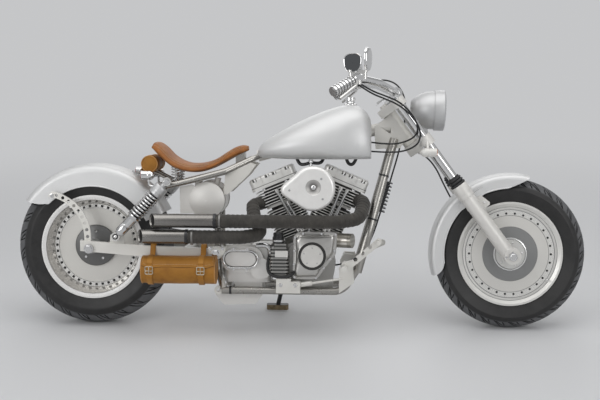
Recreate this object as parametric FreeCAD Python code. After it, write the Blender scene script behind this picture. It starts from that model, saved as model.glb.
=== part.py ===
import FreeCAD, Part
import math
import os

V = FreeCAD.Vector

# Chopper motorcycle, built upright and then leaned on its side stand.
# Upright frame, millimetres: X forward from the rear axle, Y to the left, Z up from the ground.

# Stance
LEAN_DEG = 8.0
WHEELBASE = 1748.0
RAKE_DEG = 36.5
AXLE_LEAD = 7.6
STEM_SETBACK = 55.0

# Gaps between pieces
SEAT_GAP = 0.3
RUNNING_GAP = 0.05
CALIPER_GAP = 5.0
PART_CLEARANCE = 5.5

# Rear wheel
REAR_TYRE_R = 330.0
REAR_TYRE_W = 180.0
REAR_CROWN_R = 95.0
REAR_RIM_W = 168.0
REAR_AXLE_R = 12.5
HUB_END = 116.0
WINDOWS = 40
WINDOW_RING_R = 168.0
WINDOW = 10.0
DISH_DEPTH = 70.0

# Front wheel
FRONT_TYRE_R = 314.0
FRONT_TYRE_W = 130.0
FRONT_CROWN_R = 68.0
FRONT_RIM_W = 104.0
FRONT_AXLE_R = 11.0
HOLES = 30
HOLE_RING_R = 169.5
HOLE_R = 4.5

# Both rims
BEAD_R = 204.0
LIP_R = 218.0
FLANGE = 6.0
ROTOR_R = 146.0
ROTOR_T = 5.0
ROTOR_Y = 117.0
FRONT_ROTOR_Y = 64.0

# Fork
FORK_HALF = 115.0
FORK_TUBE_R = 20.5
FORK_LEG_R = 30.0
FORK_LEG_TOP = 365.0
BOSS_HALF = 31.0
LOWER_TREE_S = 591.0
UPPER_TREE_S = 785.0
LOWER_TREE_T = 44.0
UPPER_TREE_T = 34.0
TREE_BOSS_R = 31.0
STEM_R = 17.0
NECK_R = 30.0
SWEEP_R = 100.0

# Frame tubes
RAIL_HALF = 118.0
RAIL_R = 15.5
RAIL_Z = 159.0
EYE_X = 536.0
EYE_R = 7.0
EYE_T = 10.0
DOWNTUBE_R = 19.0
BACKBONE_R = 25.0
UPRIGHT_R = 14.0
SEAT_RAIL_R = 13.0
UPRIGHT_HALF = 78.0
UPRIGHT_X = 528.0

# Swingarm and shocks
ARM_HALF = 140.0
ARM_W = 26.0
REAR_CROSS_X = 438.0
REAR_CROSS_Z = 622.0
SPRING_CROSS_X = 350.0
SPRING_CROSS_Z = 599.0
OIL_TANK_X = 483.0
OIL_TANK_Z = 533.0
OIL_TANK_R = 76.0
OIL_NECK_R = 24.0
PIVOT_X = 530.0
PIVOT_Z = 318.0
PIVOT_R = 12.0
SHOCK_HALF = 168.0
SHOCK_TOP = (328.0, 612.0)
SHOCK_FOOT = (115.0, 384.0)
COIL_TURNS = 8

# Engine
CRANK_X = 907.0
CRANK_Z = 256.0
BANK_DEG = 22.5
FIN_STEP = 11.0
FIN_T = 3.4
CYLINDER_FINS = 12
HEAD_FINS = 6
ROCKER_HALF = 100.0
CAM_FACE_Y = -152.0
CAM_BACK_Y = -88.0

# Belt
PULLEY_R = 104.0
BELT_Y0 = 97.0
BELT_Y1 = 113.0
BELT_T = 5.0
BELT_FRONT_R = 42.0
BELT_FRONT_X = 612.0
BELT_FRONT_Z = 300.0

# Fenders
REAR_FENDER_R = 350.0
REAR_FENDER_HALF = 103.0
FRONT_FENDER_R = 337.0
FRONT_FENDER_HALF = 74.0
FENDER_WALL = 3.0
STRUT_Y = 128.0
STRUT_W = 28.0
STRUT_HOLES = 9
STRUT_HOLE_R = 7.0
FENDER_BEAD = 3.0

# Exhaust
PIPE_R = 26.0
PIPE_WALL = 2.0
SLEEVE_R = 28.5
UPPER_SLEEVE_X = 534.0
LOWER_SLEEVE_X = 419.0
PIPE_Y = -238.0
UPPER_PIPE_Z = 457.0
LOWER_PIPE_Z = 392.0

# Bars and cables
BAR_R = 16.0
GRIP_R = 21.0
CABLE_R = 3.5
TAIL_LAMP_LIFT = 28.6
TAIL_LAMP_DEG = 57.4
POUCH_X = 243.0
POUCH_Z = 682.0
POUCH_R = 35.0
POUCH_HALF = 100.0
POUCH_ARM_R = 6.0
PEDAL_HOLES = 3
SHIFT_LEVER_DROP = 16.0

# Tank: each station's X, top, half width and shoulder
TANK_BASE_Z = 714.0
TANK_STATIONS = (
    (690.0, 736.0, 40.0, 0.60),
    (740.0, 790.0, 92.0, 0.62),
    (820.0, 836.0, 124.0, 0.64),
    (920.0, 884.0, 140.0, 0.66),
    (1020.0, 921.0, 143.0, 0.68),
    (1090.0, 930.0, 138.0, 0.70),
    (1140.0, 906.0, 124.0, 0.72),
    (1166.0, 850.0, 104.0, 0.74),
)
TANK_PANEL = 2.5

# Side stand, in the upright frame
STAND_PIVOT = V(715.0, 158.0, 150.0)
STAND_HUB_R = 16.0
STAND_HUB_T = 22.0
STAND_BOLT_R = 6.0
STAND_TILT_DEG = 34.0
STAND_FOOT = V(761.0, 213.0, 0.0)


def crown_drop(radius, crown):
    """Height of an axle whose leaned tyre just touches the ground."""
    return radius + crown * (1.0 / math.cos(math.radians(LEAN_DEG)) - 1.0)


REAR_Z = crown_drop(REAR_TYRE_R, REAR_CROWN_R)
FRONT_Z = crown_drop(FRONT_TYRE_R, FRONT_CROWN_R)
RAKE = math.radians(RAKE_DEG)


# Shape helpers
def outline(points, to_3d):
    """Closed wire; two numbers are a corner, four are an arc's middle and its end."""
    here = to_3d(*points[0][-2:])
    edges = []
    for entry in points[1:] + [points[0][-2:]]:
        end = to_3d(*entry[-2:])
        if (end - here).Length < 1e-6:
            continue
        if len(entry) == 4:
            edges.append(Part.Arc(here, to_3d(*entry[:2]), end).toShape())
        else:
            edges.append(Part.makeLine(here, end))
        here = end
    return Part.Wire(edges)


def plate(points, y0, y1):
    """Outline in X and Z, thick from y0 to y1."""
    face = Part.Face(outline(points, lambda x, z: V(x, y0, z)))
    return face.extrude(V(0, y1 - y0, 0))


def turned(points, x=0.0, z=0.0, start=0.0, sweep=360.0):
    """Outline in radius and Y, turned about a crosswise axis through x, z."""
    face = Part.Face(outline(points, lambda r, y: V(r, y, 0)))
    solid = face.revolve(V(0, 0, 0), V(0, -1, 0), sweep)
    solid.rotate(V(0, 0, 0), V(0, -1, 0), start)
    solid.translate(V(x, 0, z))
    return right_way_out(solid)


def spun(points):
    """Outline in length and radius, turned about the X axis."""
    face = Part.Face(outline(points, lambda x, r: V(x, 0, r)))
    return right_way_out(face.revolve(V(0, 0, 0), V(1, 0, 0), 360.0))


def dome(radius, pole, rim):
    """Middle point of the arc, centred on the axis, from the pole to the rim."""
    rise = rim - pole
    ball = (radius ** 2 + rise ** 2) / (2.0 * rise)
    half = math.asin(radius / ball) / 2.0
    return ball * math.sin(half), pole + ball * (1.0 - math.cos(half))


def right_way_out(solid):
    """The solid with its faces pointing outwards."""
    if solid.Volume < 0:
        solid = Part.Solid(solid.Shells[0].reversed())
    return solid


def rod(a, b, radius):
    """Round bar from a to b."""
    a = V(*a)
    b = V(*b)
    return Part.makeCylinder(radius, (b - a).Length, a, b - a)


def route(points, bend=0.0):
    """Straight runs joined by tangent arcs; with no bend given each arc is as large as its runs allow."""
    points = [V(*p) for p in points]
    edges = []
    start = points[0]
    for before, corner, after in zip(points, points[1:], points[2:]):
        a = before - corner
        b = after - corner
        shorter = min(a.Length, b.Length)
        a.normalize()
        b.normalize()
        half = a.getAngle(b) / 2.0
        back = bend / math.tan(half) if bend else 0.45 * shorter
        radius = back * math.tan(half)
        inward = (a + b).normalize()
        middle = corner + inward * (radius / math.sin(half) - radius)
        edges.append(Part.makeLine(start, corner + a * back))
        edges.append(Part.Arc(corner + a * back, middle, corner + b * back).toShape())
        start = corner + b * back
    edges.append(Part.makeLine(start, points[-1]))
    return Part.Wire(edges)


def bar(points, radius, bend=60.0):
    """Round bar along a bent route."""
    path = route(points, bend)
    ring = Part.makeCircle(radius, V(*points[0]), V(*points[1]) - V(*points[0]))
    return path.makePipeShell([Part.Wire(ring)], True, False)


def cable(points, radius):
    """Sheathed cable whose arcs are as large as its runs allow; prints its tightest bend."""
    tube = bar(points, radius, 0.0)
    bends = [edge.Curve.Radius for edge in route(points).Edges if hasattr(edge.Curve, "Radius")]
    print("cable", len(points), "points, tightest bend", round(min(bends), 1), "mm")
    return tube


def block(x0, x1, y0, y1, z0, z1):
    """Square box between two corners."""
    return Part.makeBox(x1 - x0, y1 - y0, z1 - z0, V(x0, y0, z0))


def rounded_block(x0, x1, y0, y1, z0, z1, radius):
    """Box with its four upright edges rounded."""
    solid = block(x0, x1, y0, y1, z0, z1)
    upright = [e for e in solid.Edges if abs(e.tangentAt(e.FirstParameter).z) > 0.9]
    return solid.makeFillet(radius, upright)


def join(*shapes):
    """One solid from overlapping ones."""
    return shapes[0].multiFuse(list(shapes[1:])).removeSplitter()


def pack(*shapes):
    """Like pieces that share a node."""
    solids = []
    for shape in shapes:
        solids.extend(shape.Solids)
    return Part.makeCompound(solids)


def on_fork(shape):
    """Moves a shape from the fork's own frame to the bike's."""
    shape.rotate(V(0, 0, 0), V(0, 1, 0), -RAKE_DEG)
    shape.translate(fork_base())
    return shape


def fork_base():
    """Foot of the fork tubes' line beside the front axle."""
    ahead = V(math.cos(RAKE), 0, math.sin(RAKE))
    return V(WHEELBASE, 0, FRONT_Z) - ahead * AXLE_LEAD


def fork_point(ahead, y, up):
    """A point given ahead of the fork tubes and up along them."""
    n = V(math.cos(RAKE), 0, math.sin(RAKE))
    u = V(-math.sin(RAKE), 0, math.cos(RAKE))
    return fork_base() + n * ahead + u * up + V(0, y, 0)


def on_bank(shape, side):
    """Moves a shape from a cylinder's own frame to the bike's."""
    shape.rotate(V(0, 0, 0), V(0, 1, 0), side * BANK_DEG)
    shape.translate(V(CRANK_X, 0, CRANK_Z))
    return shape


# Wheels
def tyre(radius, width, crown, rim_w, x, z):
    """Hollow tyre with a round crown and beads inside the rim's flanges."""
    half = width / 2.0
    bead = rim_w / 2.0 - FLANGE - SEAT_GAP
    shoulder = radius - crown + math.sqrt(crown ** 2 - half ** 2)
    side = (LIP_R + 2.0 + shoulder) / 2.0
    skin = 12.0
    inner_shoulder = shoulder - 6.0
    return turned([
        (BEAD_R, -bead),
        (LIP_R + 2.0, -bead),
        (side, -half - 0.5, shoulder, -half),
        (radius, 0.0, shoulder, half),
        (side, half + 0.5, LIP_R + 2.0, bead),
        (BEAD_R, bead),
        (BEAD_R, bead - skin),
        (LIP_R + 6.0, bead - skin),
        (inner_shoulder, half - skin),
        (radius - 18.0, 0.0, inner_shoulder, -half + skin),
        (LIP_R + 6.0, -bead + skin),
        (BEAD_R, -bead + skin),
    ], x, z)


def rim_outside(half):
    """The rim's outer side, from its right lip to its left lip."""
    seat = BEAD_R - SEAT_GAP
    return [
        (LIP_R, -half),
        (LIP_R, -half + FLANGE),
        (seat, -half + FLANGE),
        (seat, -half + 24.0),
        (seat - 14.0, -half + 36.0),
        (seat - 14.0, half - 36.0),
        (seat, half - 24.0),
        (seat, half - FLANGE),
        (LIP_R, half - FLANGE),
        (LIP_R, half),
        (LIP_R - 7.0, half),
    ]


def rear_rim():
    """Deep dish disc wheel with a ring of square windows."""
    half = REAR_RIM_W / 2.0
    bore = REAR_AXLE_R + RUNNING_GAP
    ring = DISH_DEPTH - half
    wheel = turned(rim_outside(half) + [
        (LIP_R - 36.0, 8.0),
        (WINDOW_RING_R + 6.0, 0.0),
        (70.0, 0.0),
        (52.0, 10.0),
        (40.0, 84.0),
        (40.0, 92.0),
        (bore, 92.0),
        (bore, -HUB_END),
        (24.0, -HUB_END),
        (30.0, -40.0),
        (60.0, -34.0),
        (84.0, -30.0),
        (87.0, -27.0),
        (87.0, ring),
        (WINDOW_RING_R - 9.0, ring),
        (WINDOW_RING_R - 8.0, ring - 3.0),
        (WINDOW_RING_R + 8.0, ring - 3.0),
        (LIP_R - 38.0, ring - 8.0),
        (LIP_R - 22.0, -half + 6.0),
        (LIP_R - 19.0, -half + 1.0),
        (LIP_R - 7.0, -half),
    ])
    reach = WINDOW / 2.0
    window = block(WINDOW_RING_R - reach, WINDOW_RING_R + reach, ring - 6.0, 4.0, -reach, reach)
    tools = []
    for i in range(WINDOWS):
        tool = window.copy()
        tool.rotate(V(0, 0, 0), V(0, 1, 0), 360.0 * i / WINDOWS)
        tools.append(tool)
    wheel = wheel.cut(Part.makeCompound(tools))
    wheel.translate(V(0, 0, REAR_Z))
    return wheel


def rear_pulley():
    """Belt pulley with the brake disc bolted beside it."""
    bore = REAR_AXLE_R + RUNNING_GAP
    return turned([
        (bore, 92.0),
        (60.0, 92.0),
        (60.0, BELT_Y0 - 1.0),
        (PULLEY_R, BELT_Y0 - 1.0),
        (PULLEY_R, ROTOR_Y),
        (ROTOR_R, ROTOR_Y),
        (ROTOR_R, ROTOR_Y + ROTOR_T),
        (92.0, ROTOR_Y + ROTOR_T),
        (84.0, 108.0),
        (50.0, 108.0),
        (46.0, ROTOR_Y + ROTOR_T),
        (bore, ROTOR_Y + ROTOR_T),
    ], 0, REAR_Z)


def front_rim():
    """Disc wheel, flush on its right side and dished on its left."""
    half = FRONT_RIM_W / 2.0
    bore = FRONT_AXLE_R + RUNNING_GAP
    wheel = turned(rim_outside(half) + [
        (LIP_R - 30.0, -22.0),
        (LIP_R - 46.0, -34.0),
        (66.0, -36.0),
        (46.0, -20.0),
        (40.0, 56.0),
        (bore, 56.0),
        (bore, -78.0),
        (26.0, -78.0),
        (28.0, -62.0),
        (60.0, -60.0),
        (64.0, -54.0),
        (69.0, -53.0),
        (70.0, -49.0),
        (114.0, -47.0),
        (115.0, -45.0),
        (161.0, -44.0),
        (183.0, -44.0),
        (185.0, -42.5),
        (187.0, -44.0),
        (194.0, -45.0),
        (196.0, -43.5),
        (198.0, -45.0),
        (LIP_R - 8.0, -half),
    ])
    tools = []
    for i in range(HOLES):
        angle = 2.0 * math.pi * i / HOLES
        x = HOLE_RING_R * math.cos(angle)
        z = HOLE_RING_R * math.sin(angle)
        tools.append(rod((x, -50.0, z), (x, -28.0, z), HOLE_R))
    wheel = wheel.cut(Part.makeCompound(tools))
    wheel.translate(V(WHEELBASE, 0, FRONT_Z))
    return wheel


def front_rotor():
    """Brake disc on the hub's left face."""
    bore = FRONT_AXLE_R + RUNNING_GAP
    face = FRONT_ROTOR_Y
    return turned([
        (bore, 56.0),
        (60.0, 56.0),
        (72.0, face),
        (ROTOR_R, face),
        (ROTOR_R, face + ROTOR_T),
        (66.0, face + ROTOR_T),
        (50.0, 62.0),
        (bore, 62.0),
    ], WHEELBASE, FRONT_Z)


def front_caliper(legs):
    """Caliper straddling the front disc, lugged to the left fork leg."""
    body = block(-98.0, -36.0, 46.0, 94.0, 62.0, 134.0)
    rounding = [e for e in body.Edges if abs(e.tangentAt(e.FirstParameter).y) > 0.9]
    body = on_fork(body.makeFillet(12.0, rounding))
    y0 = FRONT_ROTOR_Y - CALIPER_GAP
    y1 = FRONT_ROTOR_Y + ROTOR_T + CALIPER_GAP
    slot = rod((WHEELBASE, y0, FRONT_Z), (WHEELBASE, y1, FRONT_Z), ROTOR_R + CALIPER_GAP)
    lug = on_fork(block(-50.0, -10.0, y1, 94.0, 76.0, 120.0))
    return join(body.cut(slot), lug).cut(legs)


def rear_caliper(arm):
    """Caliper straddling the rear disc, hung under the left beam."""
    y0 = ROTOR_Y - CALIPER_GAP
    y1 = ROTOR_Y + ROTOR_T + CALIPER_GAP
    body = block(-14.0, 58.0, 99.0, 146.0, 168.0, 214.0)
    rounding = [e for e in body.Edges if abs(e.tangentAt(e.FirstParameter).y) > 0.9]
    body = body.makeFillet(10.0, rounding)
    slot = rod((0.0, y0, REAR_Z), (0.0, y1, REAR_Z), ROTOR_R + CALIPER_GAP)
    hanger = plate([(2.0, 200.0), (44.0, 200.0), (60.0, 330.0), (24.0, 330.0)], y1 + 2.0, y1 + 10.0)
    return join(body.cut(slot), hanger).cut(arm)


# Fork, built in its own frame: X ahead of the tubes, Z up along them
def fork_trees():
    """Both clamps and the steering stem between them."""
    stem_foot = LOWER_TREE_S - LOWER_TREE_T / 2.0
    stem = Part.makeCylinder(STEM_R, UPPER_TREE_S - stem_foot + 28.0, V(-STEM_SETBACK, 0, stem_foot))
    parts = [stem]
    for level, thick, back in ((LOWER_TREE_S, LOWER_TREE_T, 88.0), (UPPER_TREE_S, UPPER_TREE_T, 92.0)):
        low = level - thick / 2.0
        wing = [V(-back, -46, low), V(-STEM_SETBACK - 4.0, -80, low), V(-16, -FORK_HALF - 12, low)]
        wing += [V(16, -FORK_HALF, low), V(16, FORK_HALF, low), V(-16, FORK_HALF + 12, low)]
        wing += [V(-STEM_SETBACK - 4.0, 80, low), V(-back, 46, low)]
        slab = Part.Face(Part.makePolygon(wing + wing[:1])).extrude(V(0, 0, thick))
        parts.append(slab)
        for y in (-FORK_HALF, FORK_HALF):
            parts.append(Part.makeCylinder(TREE_BOSS_R, thick, V(0, y, low)))
    trees = join(*parts)
    for y in (-FORK_HALF, FORK_HALF):
        trees = trees.cut(Part.makeCylinder(FORK_TUBE_R, 400.0, V(0, y, LOWER_TREE_S - 100.0)))
    return on_fork(trees)


def fork_tubes():
    """Chrome inner tubes with their caps and dust boots."""
    tubes = []
    for y in (-FORK_HALF, FORK_HALF):
        top = UPPER_TREE_S + UPPER_TREE_T / 2.0
        tube = Part.makeCylinder(FORK_TUBE_R, top - FORK_LEG_TOP, V(0, y, FORK_LEG_TOP))
        cap = Part.makeCylinder(FORK_TUBE_R + 3.0, 8.0, V(0, y, top))
        tubes.append(on_fork(join(tube, cap)))
    return pack(*tubes)


def dust_boots():
    """Rubber boots round the tubes above the lower legs."""
    boots = []
    for y in (-FORK_HALF, FORK_HALF):
        boot = Part.makeCone(FORK_LEG_R - 1.0, FORK_TUBE_R + 4.0, 40.0, V(0, y, FORK_LEG_TOP))
        boot = boot.cut(Part.makeCylinder(FORK_TUBE_R, 50.0, V(0, y, FORK_LEG_TOP - 2.0)))
        boots.append(on_fork(boot))
    return pack(*boots)


def fork_leg(y):
    """Lower leg with its axle boss and a rounded foot."""
    leg = Part.makeCylinder(FORK_LEG_R, FORK_LEG_TOP - 20.0, V(0, y, 20.0))
    foot = Part.makeSphere(FORK_LEG_R, V(0, y, 20.0))
    boss = Part.makeCylinder(34.0, 2.0 * BOSS_HALF, V(AXLE_LEAD, y - BOSS_HALF, 0), V(0, 1, 0))
    collar = Part.makeCylinder(FORK_LEG_R + 3.0, 14.0, V(0, y, FORK_LEG_TOP - 60.0))
    leg = join(leg, foot, boss, collar)
    hole = Part.makeCylinder(FRONT_AXLE_R, 90.0, V(AXLE_LEAD, y - 45.0, 0), V(0, 1, 0))
    return on_fork(leg.cut(hole))


def fork_legs():
    """Both lower legs."""
    return pack(fork_leg(-FORK_HALF), fork_leg(FORK_HALF))


def front_axle():
    """Front axle with its nuts and spacers."""
    end = FORK_HALF + BOSS_HALF
    axle = rod((WHEELBASE, -end, FRONT_Z), (WHEELBASE, end, FRONT_Z), FRONT_AXLE_R)
    nuts = []
    for side in (-1.0, 1.0):
        nut = rod((WHEELBASE, side * end, FRONT_Z), (WHEELBASE, side * (end + 12.0), FRONT_Z), 17.0)
        inner = 79.0 if side < 0 else 63.0
        face = FORK_HALF - BOSS_HALF
        spacer = rod((WHEELBASE, side * inner, FRONT_Z), (WHEELBASE, side * face, FRONT_Z), 18.0)
        nuts.extend([nut, spacer])
    return join(axle, *nuts)


def fender_profile(radius, skirt, half, corner):
    """Arched section of a fender with beaded edges: outside from right to left, then back inside."""
    bend = corner * (1.0 - math.sqrt(0.5))
    drop = 5.0
    wall = FENDER_WALL
    bead = half + FENDER_BEAD
    inner = corner - wall
    inner_bend = inner * (1.0 - math.sqrt(0.5))
    top = radius - drop
    edge = half - corner
    return [
        (skirt, -half),
        (skirt + 3.0, -bead, skirt + 6.0, -half),
        (top - corner, -half),
        (top - bend, -half + bend, top, -edge),
        (radius, 0.0, top, edge),
        (top - bend, half - bend, top - corner, half),
        (skirt + 6.0, half),
        (skirt + 3.0, bead, skirt, half),
        (skirt, half - wall),
        (top - corner, half - wall),
        (top - wall - inner_bend, half - wall - inner_bend, top - wall, edge),
        (radius - wall, 0.0, top - wall, -edge),
        (top - wall - inner_bend, -half + wall + inner_bend, top - corner, -half + wall),
        (skirt, -half + wall),
    ]


def front_fender(legs):
    """Short fender over the back of the front wheel, with its brackets on the fork legs."""
    profile = fender_profile(FRONT_FENDER_R, 274.0, FRONT_FENDER_HALF, 22.0)
    shell = turned(profile, WHEELBASE, FRONT_Z, 74.0, 124.0)
    silhouette = plate([
        (1688.0, 578.0),
        (1760.0, 600.0, 1806.0, 622.0),
        (1822.0, 634.0, 1824.0, 668.0),
        (1824.0, 720.0),
        (1340.0, 720.0),
        (1340.0, 214.0),
        (1416.0, 220.0),
        (1452.0, 232.0, 1472.0, 262.0),
        (1480.0, 290.0, 1500.0, 320.0),
        (1600.0, 500.0),
    ], -200.0, 200.0)
    shell = shell.common(silhouette)
    brackets = []
    for side in (-1.0, 1.0):
        inner = side * (FRONT_FENDER_HALF - 1.0)
        outer = side * (FORK_HALF - FORK_LEG_R + 6.0)
        y0, y1 = sorted((inner, outer))
        brackets.append(on_fork(block(-46.0, 74.0, y0, y1, 270.0, 298.0)))
    return join(shell, *[b.cut(legs) for b in brackets])


def handlebar():
    """Pulled back bar with its two risers."""
    halves = []
    for side in (-1.0, 1.0):
        halves.append(bar([
            (1268.0, 0.0, 980.0),
            (1268.0, side * 70.0, 980.0),
            (1195.0, side * 200.0, 1018.0),
            (1106.0, side * 320.0, 1034.0),
            (1013.0, side * 402.0, 977.0),
        ], BAR_R, 45.0))
    risers = []
    top = fork_point(-40.0, 0, UPPER_TREE_S + UPPER_TREE_T / 2.0)
    for y in (-45.0, 45.0):
        risers.append(rod((top.x, y, top.z), (1264.0, y, 972.0), 17.0))
        risers.append(rod((1268.0, y - 18.0, 980.0), (1268.0, y + 18.0, 980.0), 25.0))
    return join(*halves, *risers)


def grips():
    """Ribbed grips round the bar's ends."""
    solids = []
    for side in (-1.0, 1.0):
        a = V(1106.0, side * 320.0, 1034.0)
        b = V(1013.0, side * 402.0, 977.0)
        along = (b - a).normalize()
        start = b - along * 118.0
        parts = [rod(tuple(start), tuple(b + along * 4.0), GRIP_R - 2.5)]
        for i in range(8):
            ring = start + along * (i * 15.5)
            parts.append(rod(tuple(ring), tuple(ring + along * 9.0), GRIP_R))
        core = rod(tuple(start - along * 5.0), tuple(b), BAR_R)
        solids.append(join(*parts).cut(core))
    return pack(*solids)


def controls():
    """Fluid cups, lever housings and levers ahead of the grips."""
    solids = []
    for side in (-1.0, 1.0):
        y = side * 318.0
        housing = rounded_block(1074.0, 1122.0, y - 22.0, y + 22.0, 1010.0, 1040.0, 9.0)
        cup = rounded_block(1072.0, 1144.0, y - 25.0, y + 25.0, 1028.0, 1062.0, 10.0)
        lid = rounded_block(1069.0, 1147.0, y - 28.0, y + 28.0, 1056.0, 1064.0, 11.0)
        lever = bar([
            (1112.0, side * 328.0, 1026.0),
            (1100.0, side * 385.0, 1000.0),
            (1040.0, side * 440.0, 950.0),
        ], 6.0, 15.0)
        pivot = rod((1112.0, side * 330.0, 1008.0), (1112.0, side * 330.0, 1044.0), 12.0)
        solids.append(join(housing, cup, lid, lever, pivot))
    return solids


def mirror_head(width, height, x, y, z, turn):
    """Rounded six sided mirror, thick along X, turned about Z and set in place."""
    w = width / 2.0
    h = height / 2.0
    ring = [V(0, -w, -h * 0.35), V(0, -w * 0.45, -h), V(0, w * 0.55, -h)]
    ring += [V(0, w, -h * 0.2), V(0, w * 0.5, h), V(0, -w * 0.75, h * 0.75)]
    head = Part.Face(Part.makePolygon(ring + ring[:1])).extrude(V(16.0, 0, 0))
    corners = [e for e in head.Edges if abs(e.tangentAt(e.FirstParameter).x) > 0.9]
    head = head.makeFillet(13.0, corners)
    back = [e for e in head.Edges if abs(e.CenterOfMass.x - 16.0) < 0.01]
    head = head.makeFillet(7.0, back)
    head.rotate(V(0, 0, 0), V(0, 0, 1), turn)
    head.translate(V(x, y, z))
    return head


def mirror_pair():
    """Mirror heads on their stems, the right one turned outwards."""
    near = mirror_head(106.0, 84.0, 1086.0, -350.0, 1092.0, 48.0)
    near_stem = bar([(1118.0, -340.0, 1062.0), (1122.0, -344.0, 1084.0), (1100.0, -345.0, 1094.0)], 5.0, 8.0)
    far = mirror_head(76.0, 112.0, 1148.0, 366.0, 1142.0, -14.0)
    far_stem = rod((1118.0, 340.0, 1062.0), (1158.0, 364.0, 1108.0), 5.0)
    return [join(near, near_stem), join(far, far_stem)]


def headlight(trees):
    """Bullet headlight with a broad rim, on an arm from the lower tree."""
    mid_r, mid_x = dome(76.0, 148.0, 141.0)
    glass = (mid_x, mid_r)
    lamp = spun([
        (0.0, 0.0),
        (0.0, 34.0),
        (10.0, 48.0, 26.0, 60.0),
        (58.0, 75.0, 98.0, 79.0),
        (98.0, 84.0),
        (138.0, 84.0),
        (141.0, 80.0),
        (141.0, 76.0),
        glass + (148.0, 0.0),
    ])
    lamp.rotate(V(0, 0, 0), V(0, 1, 0), 2.0)
    lamp.translate(V(1330.0, 0, 914.0))
    low = fork_point(6.0, 0, LOWER_TREE_S)
    arm = plate([
        (low.x, low.z + 6.0),
        (low.x + 16.0, low.z - 6.0),
        (1398.0, 850.0),
        (1366.0, 868.0),
    ], -14.0, 14.0)
    return join(lamp, arm).cut(trees)


def bullet(x, y, z, radius, length, heading):
    """Bullet lamp whose tip points back and whose lens faces heading."""
    solid = spun([
        (0.0, 0.0),
        (length * 0.15, radius * 0.7, length * 0.55, radius * 0.97),
        (length, radius),
        (length, radius * 0.8),
        (length + 4.0, 0.0),
    ])
    if heading < 0:
        solid.rotate(V(0, 0, 0), V(0, 0, 1), 180.0)
    solid.translate(V(x, y, z))
    return solid


def front_signals():
    """Front turn signals on short stalks beside the lower tree."""
    solids = []
    root = fork_point(0.0, 0, LOWER_TREE_S - 4.0)
    for side in (-1.0, 1.0):
        lamp = bullet(1360.0, side * 172.0, 738.0, 18.0, 70.0, 1)
        stalk = rod((root.x, side * (FORK_HALF + TREE_BOSS_R - 4.0), root.z), (1396.0, side * 168.0, 742.0), 6.0)
        solids.append(join(lamp, stalk))
    return solids


def rear_lights(rear, fender):
    """Two rear turn signals on bent stems and a small lamp on the fender's crown."""
    solids = []
    for side in (-1.0, 1.0):
        y = side * 120.0
        lamp = bullet(272.0, y, 636.0, 20.0, 58.0, -1)
        stem = bar([(244.0, y, 622.0), (246.0, y, 591.0), (320.0, side * 128.0, 591.0)], 5.0, 12.0)
        solids.append(join(lamp, stem).cut(rear))
    foot = turned([
        (REAR_FENDER_R - 8.0, -11.0),
        (REAR_FENDER_R + 6.0, -11.0),
        (REAR_FENDER_R + 6.0, 11.0),
        (REAR_FENDER_R - 8.0, 11.0),
    ], 0, REAR_Z, 59.0, 5.0)
    reach = REAR_FENDER_R + TAIL_LAMP_LIFT
    turn = math.radians(TAIL_LAMP_DEG)
    tail = bullet(reach * math.cos(turn), 0.0, REAR_Z + reach * math.sin(turn), 17.0, 34.0, -1)
    solids.append(join(foot, tail).cut(fender))
    return pack(*[max(s.Solids, key=lambda piece: piece.Volume) for s in solids])


# Frame
def neck_tube():
    """Head tube, bored for the steering stem."""
    low = fork_point(-STEM_SETBACK, 0, LOWER_TREE_S + LOWER_TREE_T / 2.0 + 1.0)
    high = fork_point(-STEM_SETBACK, 0, UPPER_TREE_S - UPPER_TREE_T / 2.0 - 1.0)
    return rod(tuple(low), tuple(high), NECK_R), rod(tuple(low - (high - low)), tuple(high * 2.0 - low), STEM_R + RUNNING_GAP)


def tree_sweeps():
    """Room that the two clamps sweep round the stem as the fork turns."""
    low = LOWER_TREE_S - LOWER_TREE_T / 2.0 - PART_CLEARANCE
    high = UPPER_TREE_S - UPPER_TREE_T / 2.0 - PART_CLEARANCE
    lower = Part.makeCylinder(SWEEP_R, LOWER_TREE_T + 2.0 * PART_CLEARANCE, V(-STEM_SETBACK, 0, low))
    upper = Part.makeCylinder(SWEEP_R, 80.0, V(-STEM_SETBACK, 0, high))
    return on_fork(lower), on_fork(upper)


def frame_backbone():
    """Head tube, backbone under the tank, and the neck gussets."""
    sweeps = tree_sweeps()
    neck, bore = neck_tube()
    mid = fork_point(-STEM_SETBACK, 0, (LOWER_TREE_S + UPPER_TREE_S) / 2.0 + 20.0)
    spine = bar([(690.0, 0.0, 716.0), (900.0, 0.0, 770.0), (mid.x, 0.0, mid.z)], BACKBONE_R, 200.0)
    gussets = []
    for y0 in (-31.0, 25.0):
        skin = plate([
            (1176.0, 872.0),
            (1212.0, 872.0),
            (1240.0, 888.0),
            (1262.0, 878.0),
            (1316.0, 800.0),
            (1288.0, 752.0),
            (1186.0, 748.0),
        ], y0, y0 + 6.0)
        hole = plate([(1206.0, 838.0), (1250.0, 838.0), (1246.0, 812.0)], y0 - 1.0, y0 + 7.0)
        gussets.append(skin.cut(hole).cut(sweeps[0]).cut(sweeps[1]))
    return join(neck, spine, *gussets).cut(bore)


def downtube(side):
    """One front tube from the neck down to its lower rail."""
    return bar([
        (1262.0, side * 24.0, 790.0),
        (1216.0, side * 60.0, 620.0),
        (1160.0, side * 108.0, 412.0),
        (1112.0, side * RAIL_HALF, 240.0),
    ], DOWNTUBE_R, 300.0)


def frame_downtubes(backbone):
    """Both front tubes and the cross tubes between them."""
    cross = rod((1157.0, -108.0, 400.0), (1157.0, 108.0, 400.0), 11.0)
    return join(downtube(-1.0), downtube(1.0), cross).cut(backbone)


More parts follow.
